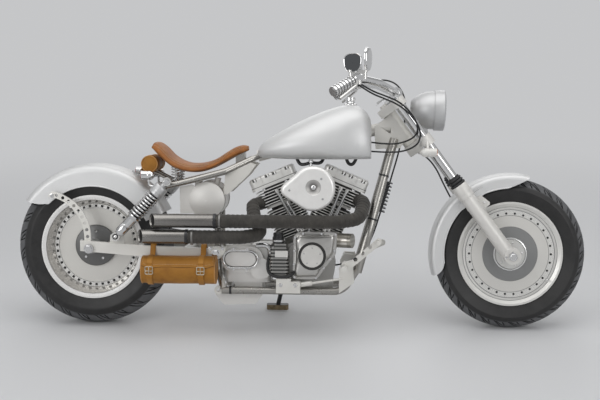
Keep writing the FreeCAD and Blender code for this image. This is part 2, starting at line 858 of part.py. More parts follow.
def regulator(downtubes):
    """Finned regulator on a bar between the front tubes."""
    body = block(-12.0, 10.0, -44.0, 44.0, -66.0, 66.0)
    parts = [body, rod((-10.0, -120.0, 0.0), (-10.0, 120.0, 0.0), 8.0)]
    for i in range(9):
        z = -64.0 + i * 15.5
        parts.append(block(8.0, 26.0, -44.0, 44.0, z, z + 4.0))
    solid = join(*parts)
    solid.rotate(V(0, 0, 0), V(0, 1, 0), 15.0)
    solid.translate(V(1216.0, 0, 550.0))
    trimmed = solid.cut(downtubes)
    return max(trimmed.Solids, key=lambda piece: piece.Volume)


def throttle_cable(carried):
    """Cable from the right grip forward round the lamp and back to the tank's foot."""
    return trimmed_cable([
        (1104.0, -296.0, 1020.0),
        (1160.0, -262.0, 986.0),
        (1212.0, -232.0, 968.0),
        (1272.0, -196.0, 946.0),
        (1324.0, -176.0, 902.0),
        (1356.0, -166.0, 846.0),
        (1346.0, -140.0, 802.0),
        (1296.0, -104.0, 776.0),
        (1236.0, -72.0, 768.0),
        (1150.0, -44.0, 778.0),
    ], carried)


def return_cable(carried):
    """Second cable of the right grip, in a wider loop under the first."""
    return trimmed_cable([
        (1104.0, -296.0, 1012.0),
        (1158.0, -262.0, 976.0),
        (1212.0, -234.0, 956.0),
        (1276.0, -204.0, 930.0),
        (1334.0, -184.0, 882.0),
        (1366.0, -172.0, 826.0),
        (1360.0, -150.0, 774.0),
        (1312.0, -116.0, 744.0),
        (1246.0, -86.0, 734.0),
        (1150.0, -62.0, 740.0),
    ], carried)


def clutch_cable(carried):
    """Cable from the left grip over the trees and down beside the regulator."""
    return trimmed_cable([
        (1108.0, 296.0, 1020.0),
        (1158.0, 244.0, 1036.0),
        (1220.0, 180.0, 1046.0),
        (1276.0, 122.0, 1026.0),
        (1308.0, 84.0, 972.0),
        (1312.0, 66.0, 906.0),
        (1306.0, 58.0, 836.0),
        (1292.0, 56.0, 766.0),
        (1276.0, 66.0, 700.0),
        (1256.0, 78.0, 630.0),
        (1234.0, 82.0, 550.0),
        (1208.0, 82.0, 470.0),
        (1186.0, 80.0, 396.0),
        (1156.0, 78.0, 326.0),
        (1110.0, 72.0, 276.0),
        (1050.0, 64.0, 250.0),
        (1008.0, 58.0, 246.0),
    ], carried)


def trimmed_cable(points, carried):
    """Cable trimmed where it enters what holds its ends."""
    tube = cable(points, CABLE_R)
    for solid in carried:
        tube = tube.cut(solid)
    return max(tube.Solids, key=lambda piece: piece.Volume)


def brake_hose(trees, caliper):
    """Front brake hose from the lower tree down to the caliper."""
    stations = ((-44.0, 560.0), (-30.0, 520.0), (-27.0, 462.0), (-40.0, 395.0),
                (-51.0, 325.0), (-58.0, 255.0), (-64.0, 190.0), (-66.0, 128.0))
    points = [tuple(fork_point(ahead, 84.0, up)) for ahead, up in stations]
    tube = cable(points, CABLE_R).cut(trees).cut(caliper)
    return max(tube.Solids, key=lambda piece: piece.Volume)


def frame_lower_rails(downtubes):
    """Cradle rails under the engine with their cross tubes."""
    rails = []
    for side in (-1.0, 1.0):
        rail = bar([
            (550.0, side * RAIL_HALF, RAIL_Z),
            (1052.0, side * RAIL_HALF, RAIL_Z),
            (1118.0, side * RAIL_HALF, 262.0),
        ], RAIL_R, 70.0)
        rails.append(rail)
    crosses = []
    for x in (580.0, 1040.0):
        crosses.append(rod((x, -RAIL_HALF, RAIL_Z), (x, RAIL_HALF, RAIL_Z), 11.0))
    return join(*rails, *crosses, *stand_lug()).cut(downtubes)


def tie_down_eyes(rails):
    """Eye plates on the rear ends of the rails."""
    eyes = []
    for side in (-1.0, 1.0):
        y = side * RAIL_HALF
        eye = rod((EYE_X, y - EYE_T / 2.0, RAIL_Z), (EYE_X, y + EYE_T / 2.0, RAIL_Z), 18.0)
        hole = rod((EYE_X, y - RAIL_R, RAIL_Z), (EYE_X, y + RAIL_R, RAIL_Z), EYE_R)
        eyes.append(eye.cut(hole).cut(rails))
    return pack(*eyes)


def stand_lug():
    """Lug on the left rail with the bolt that the stand swings on."""
    axis = stand_axis()
    face = STAND_PIVOT - axis * (STAND_HUB_T / 2.0 + 1.0)
    back = face - axis * 12.0
    pad = rod(tuple(face), tuple(back), STAND_HUB_R)
    arm = rod((STAND_PIVOT.x, RAIL_HALF, RAIL_Z), tuple(back + axis * 5.0), 9.0)
    tip = STAND_PIVOT + axis * (STAND_HUB_T / 2.0 + 1.0)
    bolt = rod(tuple(back), tuple(tip), STAND_BOLT_R)
    nut = rod(tuple(tip), tuple(tip + axis * 7.0), 10.0)
    return [pad, arm, bolt, nut]


def pouch_arm(side):
    """Arm from the spring cross tube that carries the small roll on its end."""
    y = side * POUCH_HALF / 2.0
    arm = rod((SPRING_CROSS_X, y, SPRING_CROSS_Z), (POUCH_X + 4.0, y, POUCH_Z - POUCH_R + 4.0), POUCH_ARM_R)
    room = rod((POUCH_X, -POUCH_HALF, POUCH_Z), (POUCH_X, POUCH_HALF, POUCH_Z), POUCH_R + SEAT_GAP)
    return arm.cut(room)


def frame_rear(rails, eyes, backbone):
    """Uprights, swingarm pivot plates, seat rails and gussets."""
    parts = []
    for side in (-1.0, 1.0):
        y = side * UPRIGHT_HALF
        upright = bar([
            (556.0, side * RAIL_HALF, RAIL_Z + 6.0),
            (530.0, y, 236.0),
            (UPRIGHT_X, y, 400.0),
            (UPRIGHT_X, y, 530.0),
            (640.0, side * 76.0, 690.0),
        ], UPRIGHT_R, 50.0)
        pivot = rod((PIVOT_X, y - 16.0, PIVOT_Z), (PIVOT_X, y + 16.0, PIVOT_Z), 28.0)
        seat_rail = bar([
            (316.0, side * 130.0, 590.0),
            (440.0, side * 130.0, 620.0),
            (560.0, side * 112.0, 652.0),
            (674.0, side * 60.0, 706.0),
            (716.0, side * 8.0, 722.0),
        ], SEAT_RAIL_R, 30.0)
        mount = rod((328.0, side * 124.0, 604.0), (328.0, side * 150.0, 604.0), 12.0)
        mount = mount.fuse(rod((328.0, side * 130.0, 610.0), (328.0, side * (SHOCK_HALF + 14.0), 612.0), 7.0))
        face = side * (UPRIGHT_HALF + UPRIGHT_R)
        web = plate([(554.0, 554.0), (575.0, 560.0), (654.0, 635.0), (690.0, 682.0), (664.0, 690.0), (560.0, 640.0)],
                    face - 3.0, face + 3.0)
        parts.extend([upright, pivot, seat_rail, mount, web, pouch_arm(side)])
    cross = rod((REAR_CROSS_X, -130.0, REAR_CROSS_Z), (REAR_CROSS_X, 130.0, REAR_CROSS_Z), 11.0)
    spring_cross = rod((SPRING_CROSS_X, -130.0, SPRING_CROSS_Z), (SPRING_CROSS_X, 130.0, SPRING_CROSS_Z), 9.0)
    low_cross = rod((PIVOT_X + 1.0, -UPRIGHT_HALF, 250.0), (PIVOT_X + 1.0, UPRIGHT_HALF, 250.0), 11.0)
    tab = block(598.0, 636.0, -34.0, 34.0, 684.0, 740.0).cut(lowered_seat())
    tab_bar = rod((618.0, -84.0, 684.0), (618.0, 84.0, 684.0), 9.0)
    saddle_tab = min(tab.Solids, key=lambda piece: piece.CenterOfMass.z)
    body = join(*parts, cross, spring_cross, low_cross, tab_bar, saddle_tab)
    body = body.cut(rod((PIVOT_X, -200.0, PIVOT_Z), (PIVOT_X, 200.0, PIVOT_Z), PIVOT_R))
    trimmed = body.cut(rails).cut(eyes).cut(backbone)
    return max(trimmed.Solids, key=lambda piece: piece.Volume)


def arm_beam(side):
    """One tapered side of the swingarm."""
    y = side * ARM_HALF
    return plate([
        (-38.0, 320.0),
        (-38.0, 364.0),
        (240.0, 345.0),
        (PIVOT_X, PIVOT_Z + 16.0),
        (PIVOT_X, PIVOT_Z - 16.0),
        (240.0, 299.0),
    ], y - ARM_W / 2.0, y + ARM_W / 2.0)


def swingarm():
    """Both beams, the cross tube ahead of the tyre and the shock tabs."""
    parts = []
    for side in (-1.0, 1.0):
        y = side * ARM_HALF
        eye = rod((PIVOT_X, y - 14.0, PIVOT_Z), (PIVOT_X, y + 14.0, PIVOT_Z), 27.0)
        tab = plate([(84.0, 352.0), (88.0, 388.0), (115.0, 402.0), (142.0, 388.0), (146.0, 349.0)],
                    y - 4.0, y + 4.0)
        pin = rod((115.0, y, 384.0), (115.0, side * (SHOCK_HALF + 16.0), 384.0), 7.0)
        parts.extend([arm_beam(side), eye, tab, pin])
    cross = rod((400.0, -ARM_HALF, 322.0), (400.0, ARM_HALF, 322.0), 18.0)
    end = ARM_HALF + 14.0
    shaft = rod((PIVOT_X, -end - 9.0, PIVOT_Z), (PIVOT_X, end + 9.0, PIVOT_Z), PIVOT_R)
    for side in (-1.0, 1.0):
        parts.append(rod((PIVOT_X, side * end, PIVOT_Z), (PIVOT_X, side * (end + 9.0), PIVOT_Z), 17.0))
    cap = plate([(498.0, 346.0), (576.0, 346.0), (564.0, 313.0), (530.0, 304.0), (502.0, 318.0)],
                -end - 15.0, -end - 8.0)
    arm = join(*parts, cross, shaft, cap)
    return arm.cut(rod((0.0, -200.0, REAR_Z), (0.0, 200.0, REAR_Z), REAR_AXLE_R))


def rear_axle():
    """Rear axle with its nuts and spacers."""
    face = ARM_HALF + ARM_W / 2.0
    axle = rod((0.0, -face, REAR_Z), (0.0, face, REAR_Z), REAR_AXLE_R)
    parts = [axle]
    for side, inner in ((-1.0, HUB_END + 0.5), (1.0, ROTOR_Y + ROTOR_T + 0.5)):
        parts.append(rod((0.0, side * face, REAR_Z), (0.0, side * (face + 14.0), REAR_Z), 19.0))
        parts.append(rod((0.0, side * inner, REAR_Z), (0.0, side * (ARM_HALF - ARM_W / 2.0), REAR_Z), 20.0))
    return join(*parts)


def shock(side):
    """Coil-over shock between the seat rail and the swingarm tab."""
    top = V(SHOCK_TOP[0], 0, SHOCK_TOP[1])
    foot = V(SHOCK_FOOT[0], 0, SHOCK_FOOT[1])
    length = (top - foot).Length
    rings = [(10.0, 100.0), (22.5, 100.0), (22.5, 112.0), (31.0, 112.0), (31.0, 118.0)]
    coil_from = 118.0
    coil_to = length - 74.0
    pitch = (coil_to - coil_from) / COIL_TURNS
    for i in range(COIL_TURNS):
        z = coil_from + i * pitch
        rings.append((24.0, z))
        rings.append((31.5, z + pitch * 0.3))
        rings.append((31.5, z + pitch * 0.7))
        rings.append((24.0, z + pitch))
    rings.extend([(30.0, coil_to), (30.0, length - 30.0), (24.0, length - 22.0), (14.0, length - 20.0)])
    profile = [(0.0, 16.0), (16.0, 16.0), (22.5, 24.0)] + rings[1:] + [(0.0, length - 20.0)]
    face = Part.Face(outline(profile, lambda r, z: V(r, 0, z)))
    body = face.revolve(V(0, 0, 0), V(0, 0, 1), 360.0)
    for z in (0.0, length):
        body = body.fuse(Part.makeCylinder(18.0, 26.0, V(0, -13.0, z), V(0, 1, 0)))
        stem = rod((0.0, 0.0, z + (20.0 if z == 0.0 else -24.0)), (0.0, 0.0, z), 11.0)
        body = body.fuse(stem)
    for z in (0.0, length):
        body = body.cut(Part.makeCylinder(7.0, 40.0, V(0, -20.0, z), V(0, 1, 0)))
    angle = math.degrees(math.atan2(top.x - foot.x, top.z - foot.z))
    body = body.removeSplitter()
    body.rotate(V(0, 0, 0), V(0, 1, 0), angle)
    body.translate(V(SHOCK_FOOT[0], side * SHOCK_HALF, SHOCK_FOOT[1]))
    return body


def rear_fender():
    """Deep rear fender following the tyre, with a rounded tail."""
    profile = fender_profile(REAR_FENDER_R, 254.0, REAR_FENDER_HALF, 30.0)
    shell = turned(profile, 0, REAR_Z, 26.0, 122.0)
    silhouette = plate([
        (-340.0, 552.0),
        (-286.0, 528.0),
        (-236.0, 511.0, -196.0, 511.0),
        (-168.0, 514.0, -150.0, 528.0),
        (0.0, 420.0),
        (200.0, 420.0),
        (246.0, 450.0),
        (400.0, 470.0),
        (400.0, 760.0),
        (-340.0, 760.0),
    ], -200.0, 200.0)
    return shell.common(silhouette)


def fender_struts():
    """Drilled struts curving from the axle up to the fender's sides."""
    struts = []
    foot = V(-12.0, 0, 350.0)
    knee = V(-37.0, 0, 468.0)
    tip = V(-169.0, 0, 556.0)
    centre = Part.Arc(foot, knee, tip).toShape()
    half = STRUT_W / 2.0
    for side in (-1.0, 1.0):
        y0, y1 = sorted((side * STRUT_Y, side * (STRUT_Y + 6.0)))
        strut = plate([
            (foot.x + half, foot.z),
            (knee.x + half * 0.75, knee.z + half * 0.6, tip.x + half * 0.65, tip.z + half * 0.75),
            (tip.x - half * 0.65, tip.z - half * 0.75),
            (knee.x - half * 0.85, knee.z - half * 0.5, foot.x - half, foot.z),
        ], y0, y1)
        for spot in centre.discretize(STRUT_HOLES + 2)[1:-1]:
            strut = strut.cut(rod((spot.x, y0 - 1.0, spot.z), (spot.x, y1 + 1.0, spot.z), STRUT_HOLE_R))
        spacer = rod((tip.x + 9.0, side * REAR_FENDER_HALF, tip.z - 8.0), (tip.x + 9.0, side * STRUT_Y, tip.z - 8.0), 8.0)
        struts.append(strut.fuse(spacer).removeSplitter())
    return struts


def lowered_seat():
    """The seat let down by its clearance, which trims what carries it."""
    cushion = seat()
    cushion.translate(V(0, 0, -SEAT_GAP))
    return cushion


def seat_springs(rear):
    """Coil springs under the back of the seat."""
    solids = []
    pitch = 11.0
    base = SPRING_CROSS_Z + 6.0
    for y in (-84.0, 84.0):
        profile = [(0.0, base), (17.0, base), (17.0, base + 4.0)]
        for i in range(6):
            z = base + 4.0 + i * pitch
            profile.extend([(13.0, z), (17.0, z + 3.0), (17.0, z + 7.0), (13.0, z + pitch)])
        profile.append((0.0, base + 4.0 + 6 * pitch))
        face = Part.Face(outline(profile, lambda r, z: V(r, 0, z)))
        spring = right_way_out(face.revolve(V(0, 0, 0), V(0, 0, 1), 360.0))
        spring.translate(V(SPRING_CROSS_X, y, 0))
        trimmed = spring.cut(lowered_seat()).cut(rear)
        solids.append(max(trimmed.Solids, key=lambda part: part.Volume))
    return pack(*solids)


def seat():
    """Thin sprung saddle, dished in the middle and turned up at both ends."""
    profile = [
        (247.0, 756.0),
        (252.0, 772.0, 268.0, 772.0),
        (296.0, 756.0, 318.0, 732.0),
        (366.0, 692.0, 424.0, 684.0),
        (484.0, 690.0, 543.0, 718.0),
        (610.0, 762.0, 656.0, 758.0),
        (662.0, 744.0, 640.0, 734.0),
        (600.0, 716.0, 543.0, 684.0),
        (478.0, 652.0, 418.0, 650.0),
        (350.0, 664.0, 298.0, 701.0),
        (268.0, 728.0, 247.0, 756.0),
    ]
    pan = plate(profile, -128.0, 128.0)
    trim = rounded_block(230.0, 680.0, -128.0, 128.0, 600.0, 800.0, 100.0)
    return pan.common(trim)


def tank_section(x, top, half, shoulder, swell=0.0):
    """Closed section of the tank at one station, or a wider one."""
    base = TANK_BASE_Z
    height = top - base
    wide = half + swell
    points = [
        V(x, 0.0, top),
        V(x, -half * shoulder - swell, base + height * 0.86),
        V(x, -wide, base + height * 0.40),
        V(x, -half * 0.90 - swell, base + 4.0),
        V(x, 0.0, base),
        V(x, half * 0.90 + swell, base + 4.0),
        V(x, wide, base + height * 0.40),
        V(x, half * shoulder + swell, base + height * 0.86),
    ]
    curve = Part.BSplineCurve()
    curve.interpolate(points, PeriodicFlag=True)
    return Part.Wire(curve.toShape())


def fuel_tank(backbone):
    """Teardrop tank with raised side panels and a tunnel over the backbone."""
    body = Part.makeLoft([tank_section(*row) for row in TANK_STATIONS], True, False)
    wide = Part.makeLoft([tank_section(*row, TANK_PANEL) for row in TANK_STATIONS], True, False)
    panels = []
    for y0, y1 in ((-200.0, -40.0), (40.0, 200.0)):
        panels.append(wide.common(plate([
            (722.0, 722.0),
            (735.0, 745.0),
            (789.0, 787.0),
            (856.0, 826.0),
            (923.0, 858.0),
            (989.0, 882.0),
            (1040.0, 895.0, 1078.0, 898.0),
            (1104.0, 892.0, 1111.0, 863.0),
            (1110.0, 790.0, 1102.0, 722.0),
        ], y0, y1)))
    tunnel = bar([(640.0, 0.0, 700.0), (900.0, 0.0, 768.0), (1260.0, 0.0, 838.0)], BACKBONE_R + 8.0, 200.0)
    return join(body, *panels).cut(tunnel).cut(backbone)


def fuel_cap(tank):
    """Tall filler cap with a knob on the crown of the tank."""
    cap = spun([
        (900.0, 0.0),
        (900.0, 27.0),
        (934.0, 27.0),
        (938.0, 20.0),
        (946.0, 17.0),
        (950.0, 21.0),
        (962.0, 21.0),
        (966.0, 0.0),
    ])
    cap.rotate(V(0, 0, 0), V(0, 1, 0), -90.0)
    cap.translate(V(1078.0, 0, 0))
    return cap.cut(tank)


def oil_tank():
    """Crosswise drum between the uprights, with a domed canister outside each."""
    drum = UPRIGHT_HALF - UPRIGHT_R - PART_CLEARANCE
    back = UPRIGHT_HALF + UPRIGHT_R + PART_CLEARANCE
    rim = back + 10.0
    end = rim + 18.0
    mid_r, mid_y = dome(OIL_TANK_R, -end, -rim)
    tank = turned([
        (0.0, -end),
        (mid_r, mid_y, OIL_TANK_R, -rim),
        (OIL_TANK_R, -back),
        (OIL_NECK_R, -back),
        (OIL_NECK_R, -drum),
        (OIL_TANK_R, -drum),
        (OIL_TANK_R, drum),
        (OIL_NECK_R, drum),
        (OIL_NECK_R, back),
        (OIL_TANK_R, back),
        (OIL_TANK_R, rim),
        (mid_r, -mid_y, 0.0, end),
    ], OIL_TANK_X, OIL_TANK_Z)
    cap = rod((515.0, -44.0, 580.0), (526.0, -44.0, 624.0), 13.0)
    lug = block(428.0, 448.0, -45.0, 45.0, 580.0, REAR_CROSS_Z)
    bracket = plate([(374.0, 478.0), (440.0, 478.0), (440.0, 590.0), (422.0, 598.0), (372.0, 588.0)],
                    -rim - 2.0, -rim + 4.0)
    return join(tank, cap, lug, bracket)


# Engine
def cylinder(side):
    """Finned barrel on the crankcase, cut off where the two barrels meet."""
    parts = [Part.makeCylinder(56.0, 176.0, V(0, 0, 118.0))]
    for i in range(CYLINDER_FINS):
        z = 146.0 + i * FIN_STEP
        parts.append(rounded_block(-78.0, 78.0, -80.0, 80.0, z, z + FIN_T, 30.0))
    parts.append(rounded_block(-70.0, 70.0, -72.0, 72.0, 284.0, 294.0, 20.0))
    solid = on_bank(join(*parts), side)
    x0, x1 = sorted((CRANK_X - side * 200.0, CRANK_X + side * 2.0))
    return solid.cut(block(x0, x1, -200.0, 200.0, 0.0, 900.0))


def head(side):
    """Finned head with its rocker box in three sections."""
    parts = [rounded_block(-58.0, 58.0, -62.0, 62.0, 294.0, 380.0, 24.0)]
    for i in range(HEAD_FINS):
        z = 300.0 + i * (FIN_STEP + 1.0)
        parts.append(rounded_block(-88.0, 88.0, -86.0, 86.0, z, z + FIN_T, 26.0))
    parts.append(rounded_block(-ROCKER_HALF, ROCKER_HALF, -68.0, 68.0, 372.0, 386.0, 22.0))
    box = rounded_block(2.0 - ROCKER_HALF, ROCKER_HALF - 2.0, -66.0, 66.0, 384.0, 424.0, 20.0)
    lid_edges = [e for e in box.Edges if abs(e.CenterOfMass.z - 424.0) < 0.01]
    box = box.makeFillet(10.0, lid_edges)
    for x in (-44.0, 46.0):
        groove = block(x - 1.5, x + 1.5, -90.0, 90.0, 384.0, 430.0)
        groove = groove.cut(block(x - 2.0, x + 2.0, -62.0, 62.0, 380.0, 420.0))
        box = box.cut(groove)
    for x in (-72.0, -14.0, 18.0, 74.0):
        for y in (-66.0, 66.0):
            box = box.cut(Part.makeCylinder(8.0, 24.0, V(x, y, 410.0)))
    parts.append(box)
    return on_bank(join(*parts), side)


def crankcase():
    """Crankcase with its cylinder decks and the mount to the transmission."""
    drum = rod((CRANK_X, -88.0, CRANK_Z), (CRANK_X, 96.0, CRANK_Z), 112.0)
    decks = []
    for side in (-1.0, 1.0):
        decks.append(on_bank(rounded_block(-66.0, 66.0, -74.0, 74.0, 40.0, 118.0, 20.0), side))
    base = block(800.0, 1010.0, -80.0, 80.0, 150.0, 240.0)
    return join(drum, base, *decks)


def cam_cover(crank):
    """Pointed cam cover with its round points cover."""
    cover = plate([
        (848.0, 389.0),
        (844.0, 216.0),
        (856.0, 209.0),
        (946.0, 209.0),
        (1024.0, 318.0),
        (1030.0, 407.0),
        (868.0, 407.0),
    ], -138.0, CAM_BACK_Y)
    edges = [e for e in cover.Edges if abs(e.CenterOfMass.y + 138.0) < 0.01]
    cover = cover.makeChamfer(6.0, edges)
    ring = rod((926.0, -150.0, 308.0), (926.0, -130.0, 308.0), 54.0)
    lid = rod((926.0, CAM_FACE_Y - 4.0, 308.0), (926.0, -140.0, 308.0), 46.0)
    return join(cover, ring, lid).cut(crank)


def pushrod_tubes(solids):
    """Four pushrod tubes from the cam cover to the heads."""
    tubes = []
    for x0, z0, x1, z1 in (
            (861.0, 404.0, 790.0, 560.0),
            (882.0, 404.0, 842.0, 520.0),
            (1000.0, 404.0, 1042.0, 520.0),
            (1016.0, 404.0, 1062.0, 560.0)):
        tubes.append(rod((x0, -112.0, z0), (x1, -76.0, z1), 8.0))
    trimmed = []
    for tube in tubes:
        for solid in solids:
            tube = tube.cut(solid)
        trimmed.append(max(tube.Solids, key=lambda piece: piece.Volume))
    return pack(*trimmed)


def air_cleaner():
    """Teardrop air cleaner with domed edges and a dimple in its face."""
    cover = plate([
        (863.0, 652.0),
        (811.0, 607.0),
        (801.0, 584.0, 816.0, 559.0),
        (873.0, 522.0),
        (1021.0, 597.0, 863.0, 652.0),
    ], -252.0, -200.0)
    rim = [e for e in cover.Edges if abs(e.CenterOfMass.y + 252.0) < 0.01]
    cover = cover.makeFillet(16.0, rim)
    bowl = Part.makeSphere(52.0, V(933.0, -252.0 - 41.0, 597.0))
    return cover.cut(bowl)


def intake(solids):
    """Carburettor and manifold between the cylinders."""
    body = rod((930.0, -200.0, 590.0), (925.0, -110.0, 585.0), 34.0)
    body = body.fuse(rod((925.0, -112.0, 585.0), (908.0, 0.0, 575.0), 26.0)).removeSplitter()
    for solid in solids:
        body = body.cut(solid)
    return body


def primary_cover():
    """Long primary cover on the left side, with its clutch lid and inspection lid."""
    cover = plate([
        (620.0, 222.0),
        (907.0, 176.0),
        (1000.0, 256.0, 907.0, 340.0),
        (620.0, 352.0),
        (562.0, 290.0, 620.0, 222.0),
    ], 119.0, 170.0)
    edges = [e for e in cover.Edges if abs(e.CenterOfMass.y - 170.0) < 0.01]
    boss = rod((CRANK_X, 90.0, CRANK_Z), (CRANK_X, 125.0, CRANK_Z), 70.0)
    clutch_lid = rod((664.0, 160.0, 288.0), (664.0, 176.0, 288.0), 50.0)
    rotor_lid = rod((890.0, 160.0, 260.0), (890.0, 174.0, 260.0), 46.0)
    return join(cover.makeFillet(14.0, edges), boss, clutch_lid, rotor_lid)


def stadium(x0, x1, z, radius, y0, y1):
    """Plate with round ends between two X positions."""
    return plate([
        (x0, z - radius),
        (x1, z - radius),
        (x1 + radius, z, x1, z + radius),
        (x0, z + radius),
        (x0 - radius, z, x0, z - radius),
    ], y0, y1)


def transmission(crank):
    """Gearbox with its rimmed oval side cover, rounded nose and top lid."""
    case = rounded_block(560.0, 752.0, -92.0, 84.0, 190.0, 346.0, 18.0)
    nose = rod((712.0, -116.0, 250.0), (712.0, -60.0, 250.0), 44.0)
    side_case = stadium(600.0, 668.0, 288.0, 54.0, -112.0, -90.0)
    oval = stadium(592.0, 664.0, 290.0, 40.0, -134.0, -92.0)
    oval = oval.cut(stadium(592.0, 664.0, 290.0, 32.0, -140.0, -129.0))
    top_lid = rounded_block(590.0, 672.0, -88.0, -20.0, 340.0, 356.0, 8.0)
    return join(case, nose, side_case, oval, top_lid).cut(crank)


def oil_pan():
    """Pan under the gearbox and the crankcase."""
    return plate([
        (520.0, 132.0),
        (556.0, 92.0),
        (688.0, 96.0),
        (716.0, 133.0),
        (716.0, 190.0),
        (600.0, 190.0),
        (600.0, 140.0),
        (520.0, 140.0),
    ], -80.0, 80.0)


def oil_filter():
    """Ribbed oil housing behind the cam cover and the filter can ahead of the crankcase."""
    parts = [rounded_block(754.0, 824.0, -158.0, -86.0, 222.0, 340.0, 14.0)]
    for i in range(8):
        z = 226.0 + i * 14.0
        parts.append(rounded_block(749.0, 829.0, -163.0, -88.0, z, z + 6.0, 16.0))
    parts.append(rounded_block(768.0, 820.0, -154.0, -92.0, 338.0, 358.0, 8.0))
    can = rod((1008.0, -70.0, 368.0), (1092.0, -100.0, 368.0), 30.0)
    neck = rod((960.0, -54.0, 340.0), (1016.0, -73.0, 366.0), 18.0)
    return [join(*parts), join(can, neck)]


def brake_master(rails, cover):
    """Rear brake cylinder on the right rail, with its rod to the pedal."""
    body = plate([
        (779.0, 156.0),
        (878.0, 156.0),
        (878.0, 204.0),
        (840.0, 204.0),
        (840.0, 216.0),
        (779.0, 216.0),
    ], -172.0, -120.0)
    push_rod = rod((872.0, -150.0, 188.0), (1052.0, -150.0, 216.0), 5.0)
    sleeve = rod((870.0, -150.0, 187.7), (926.0, -150.0, 196.4), 10.0)
    return join(body, push_rod, sleeve).cut(rails).cut(cover)


# Exhaust
def pipe(points, bend, slash_x, sleeve_x):
    """Wrapped pipe with a wider polished sleeve, hollow behind its slash cut end."""
    outer = bar(points, PIPE_R, bend)
    tail = V(*points[-1])
    sleeve = rod(tuple(tail), (sleeve_x, tail.y, tail.z), SLEEVE_R)
    clamp = rod((sleeve_x - 6.0, tail.y, tail.z), (sleeve_x + 6.0, tail.y, tail.z), SLEEVE_R + 2.5)
    hollow = rod((tail.x - 20.0, tail.y, tail.z), (tail.x + 180.0, tail.y, tail.z), SLEEVE_R - PIPE_WALL)
    knife = plate([
        (slash_x - 60.0, tail.z - 80.0),
        (slash_x + 17.0, tail.z - 80.0),
        (slash_x - 17.0, tail.z + 80.0),
        (slash_x - 60.0, tail.z + 80.0),
    ], tail.y - 60.0, tail.y + 60.0)
    return join(outer, sleeve, clamp).cut(hollow).cut(knife)


def exhaust_front(engine_top):
    """Front cylinder's pipe, sweeping back above the other."""
    return pipe([
        (1096.0, -48.0, 540.0),
        (1140.0, -100.0, 530.0),
        (1118.0, -205.0, 468.0),
        (1030.0, PIPE_Y, UPPER_PIPE_Z),
        (246.0, PIPE_Y, UPPER_PIPE_Z),
    ], 55.0, 262.0, UPPER_SLEEVE_X).cut(engine_top)


def exhaust_rear(engine_top):
    """Rear cylinder's pipe, hooking down behind the upper one."""
    return pipe([
        (722.0, -50.0, 524.0),
        (676.0, -104.0, 512.0),
        (692.0, -178.0, 450.0),
        (740.0, -188.0, 402.0),
        (640.0, PIPE_Y, LOWER_PIPE_Z),
        (198.0, PIPE_Y, LOWER_PIPE_Z),
    ], 30.0, 212.0, LOWER_SLEEVE_X).cut(engine_top)


def exhaust_hanger(rear):
    """Plate behind both pipes, carried by an arm from the right upright."""
    face = PIPE_Y + PIPE_R
    web = plate([(548.0, 384.0), (580.0, 384.0), (584.0, 466.0), (556.0, 466.0)], face - 3.0, face + 3.0)
    arm = rod((562.0, face + 1.0, 424.0), (543.0, -UPRIGHT_HALF, 424.0), 8.0)
    trimmed = web.fuse(arm).cut(rear)
    return min(trimmed.Solids, key=lambda piece: piece.CenterOfMass.y)


# Belt, bags, controls
def drive_belt():
    """Belt from the gearbox pulley to the rear pulley."""
    outer = belt_hull(PULLEY_R + SEAT_GAP + BELT_T, BELT_FRONT_R + BELT_T, BELT_Y0, BELT_Y1)
    inner = belt_hull(PULLEY_R + SEAT_GAP, BELT_FRONT_R, BELT_Y0 - 1.0, BELT_Y1 + 1.0)
    return outer.cut(inner)


def belt_hull(radius_rear, radius_front, y0, y1):
    """Solid bounded by two round ends and their outer tangents."""
    dx = BELT_FRONT_X
    dz = BELT_FRONT_Z - REAR_Z
    gap = math.hypot(dx, dz)
    tilt = math.atan2(dz, dx)
    spread = math.acos((radius_rear - radius_front) / gap)

    def on(radius, x, z, angle):
        return x + radius * math.cos(angle), z + radius * math.sin(angle)

    a = on(radius_rear, 0.0, REAR_Z, tilt + spread)
    b = on(radius_front, BELT_FRONT_X, BELT_FRONT_Z, tilt + spread)
    c = on(radius_front, BELT_FRONT_X, BELT_FRONT_Z, tilt - spread)
    d = on(radius_rear, 0.0, REAR_Z, tilt - spread)
    nose = on(radius_front, BELT_FRONT_X, BELT_FRONT_Z, tilt)
    tail = on(radius_rear, 0.0, REAR_Z, tilt + math.pi)
    return plate([a, b, nose + c, d, tail + a], y0, y1)


def gearbox_pulley():
    """Small pulley inside the belt's front end."""
    return rod((BELT_FRONT_X, 80.0, BELT_FRONT_Z), (BELT_FRONT_X, BELT_Y1 + 1.0, BELT_FRONT_Z), BELT_FRONT_R - SEAT_GAP)


def tool_roll():
    """Leather roll slung on the right of the swingarm."""
    return rod((230.0, -197.0, 251.6), (536.0, -197.0, 251.6), 58.0)


def pouch():
    """Small leather roll behind the saddle."""
    return rod((POUCH_X, -POUCH_HALF, POUCH_Z), (POUCH_X, POUCH_HALF, POUCH_Z), POUCH_R)


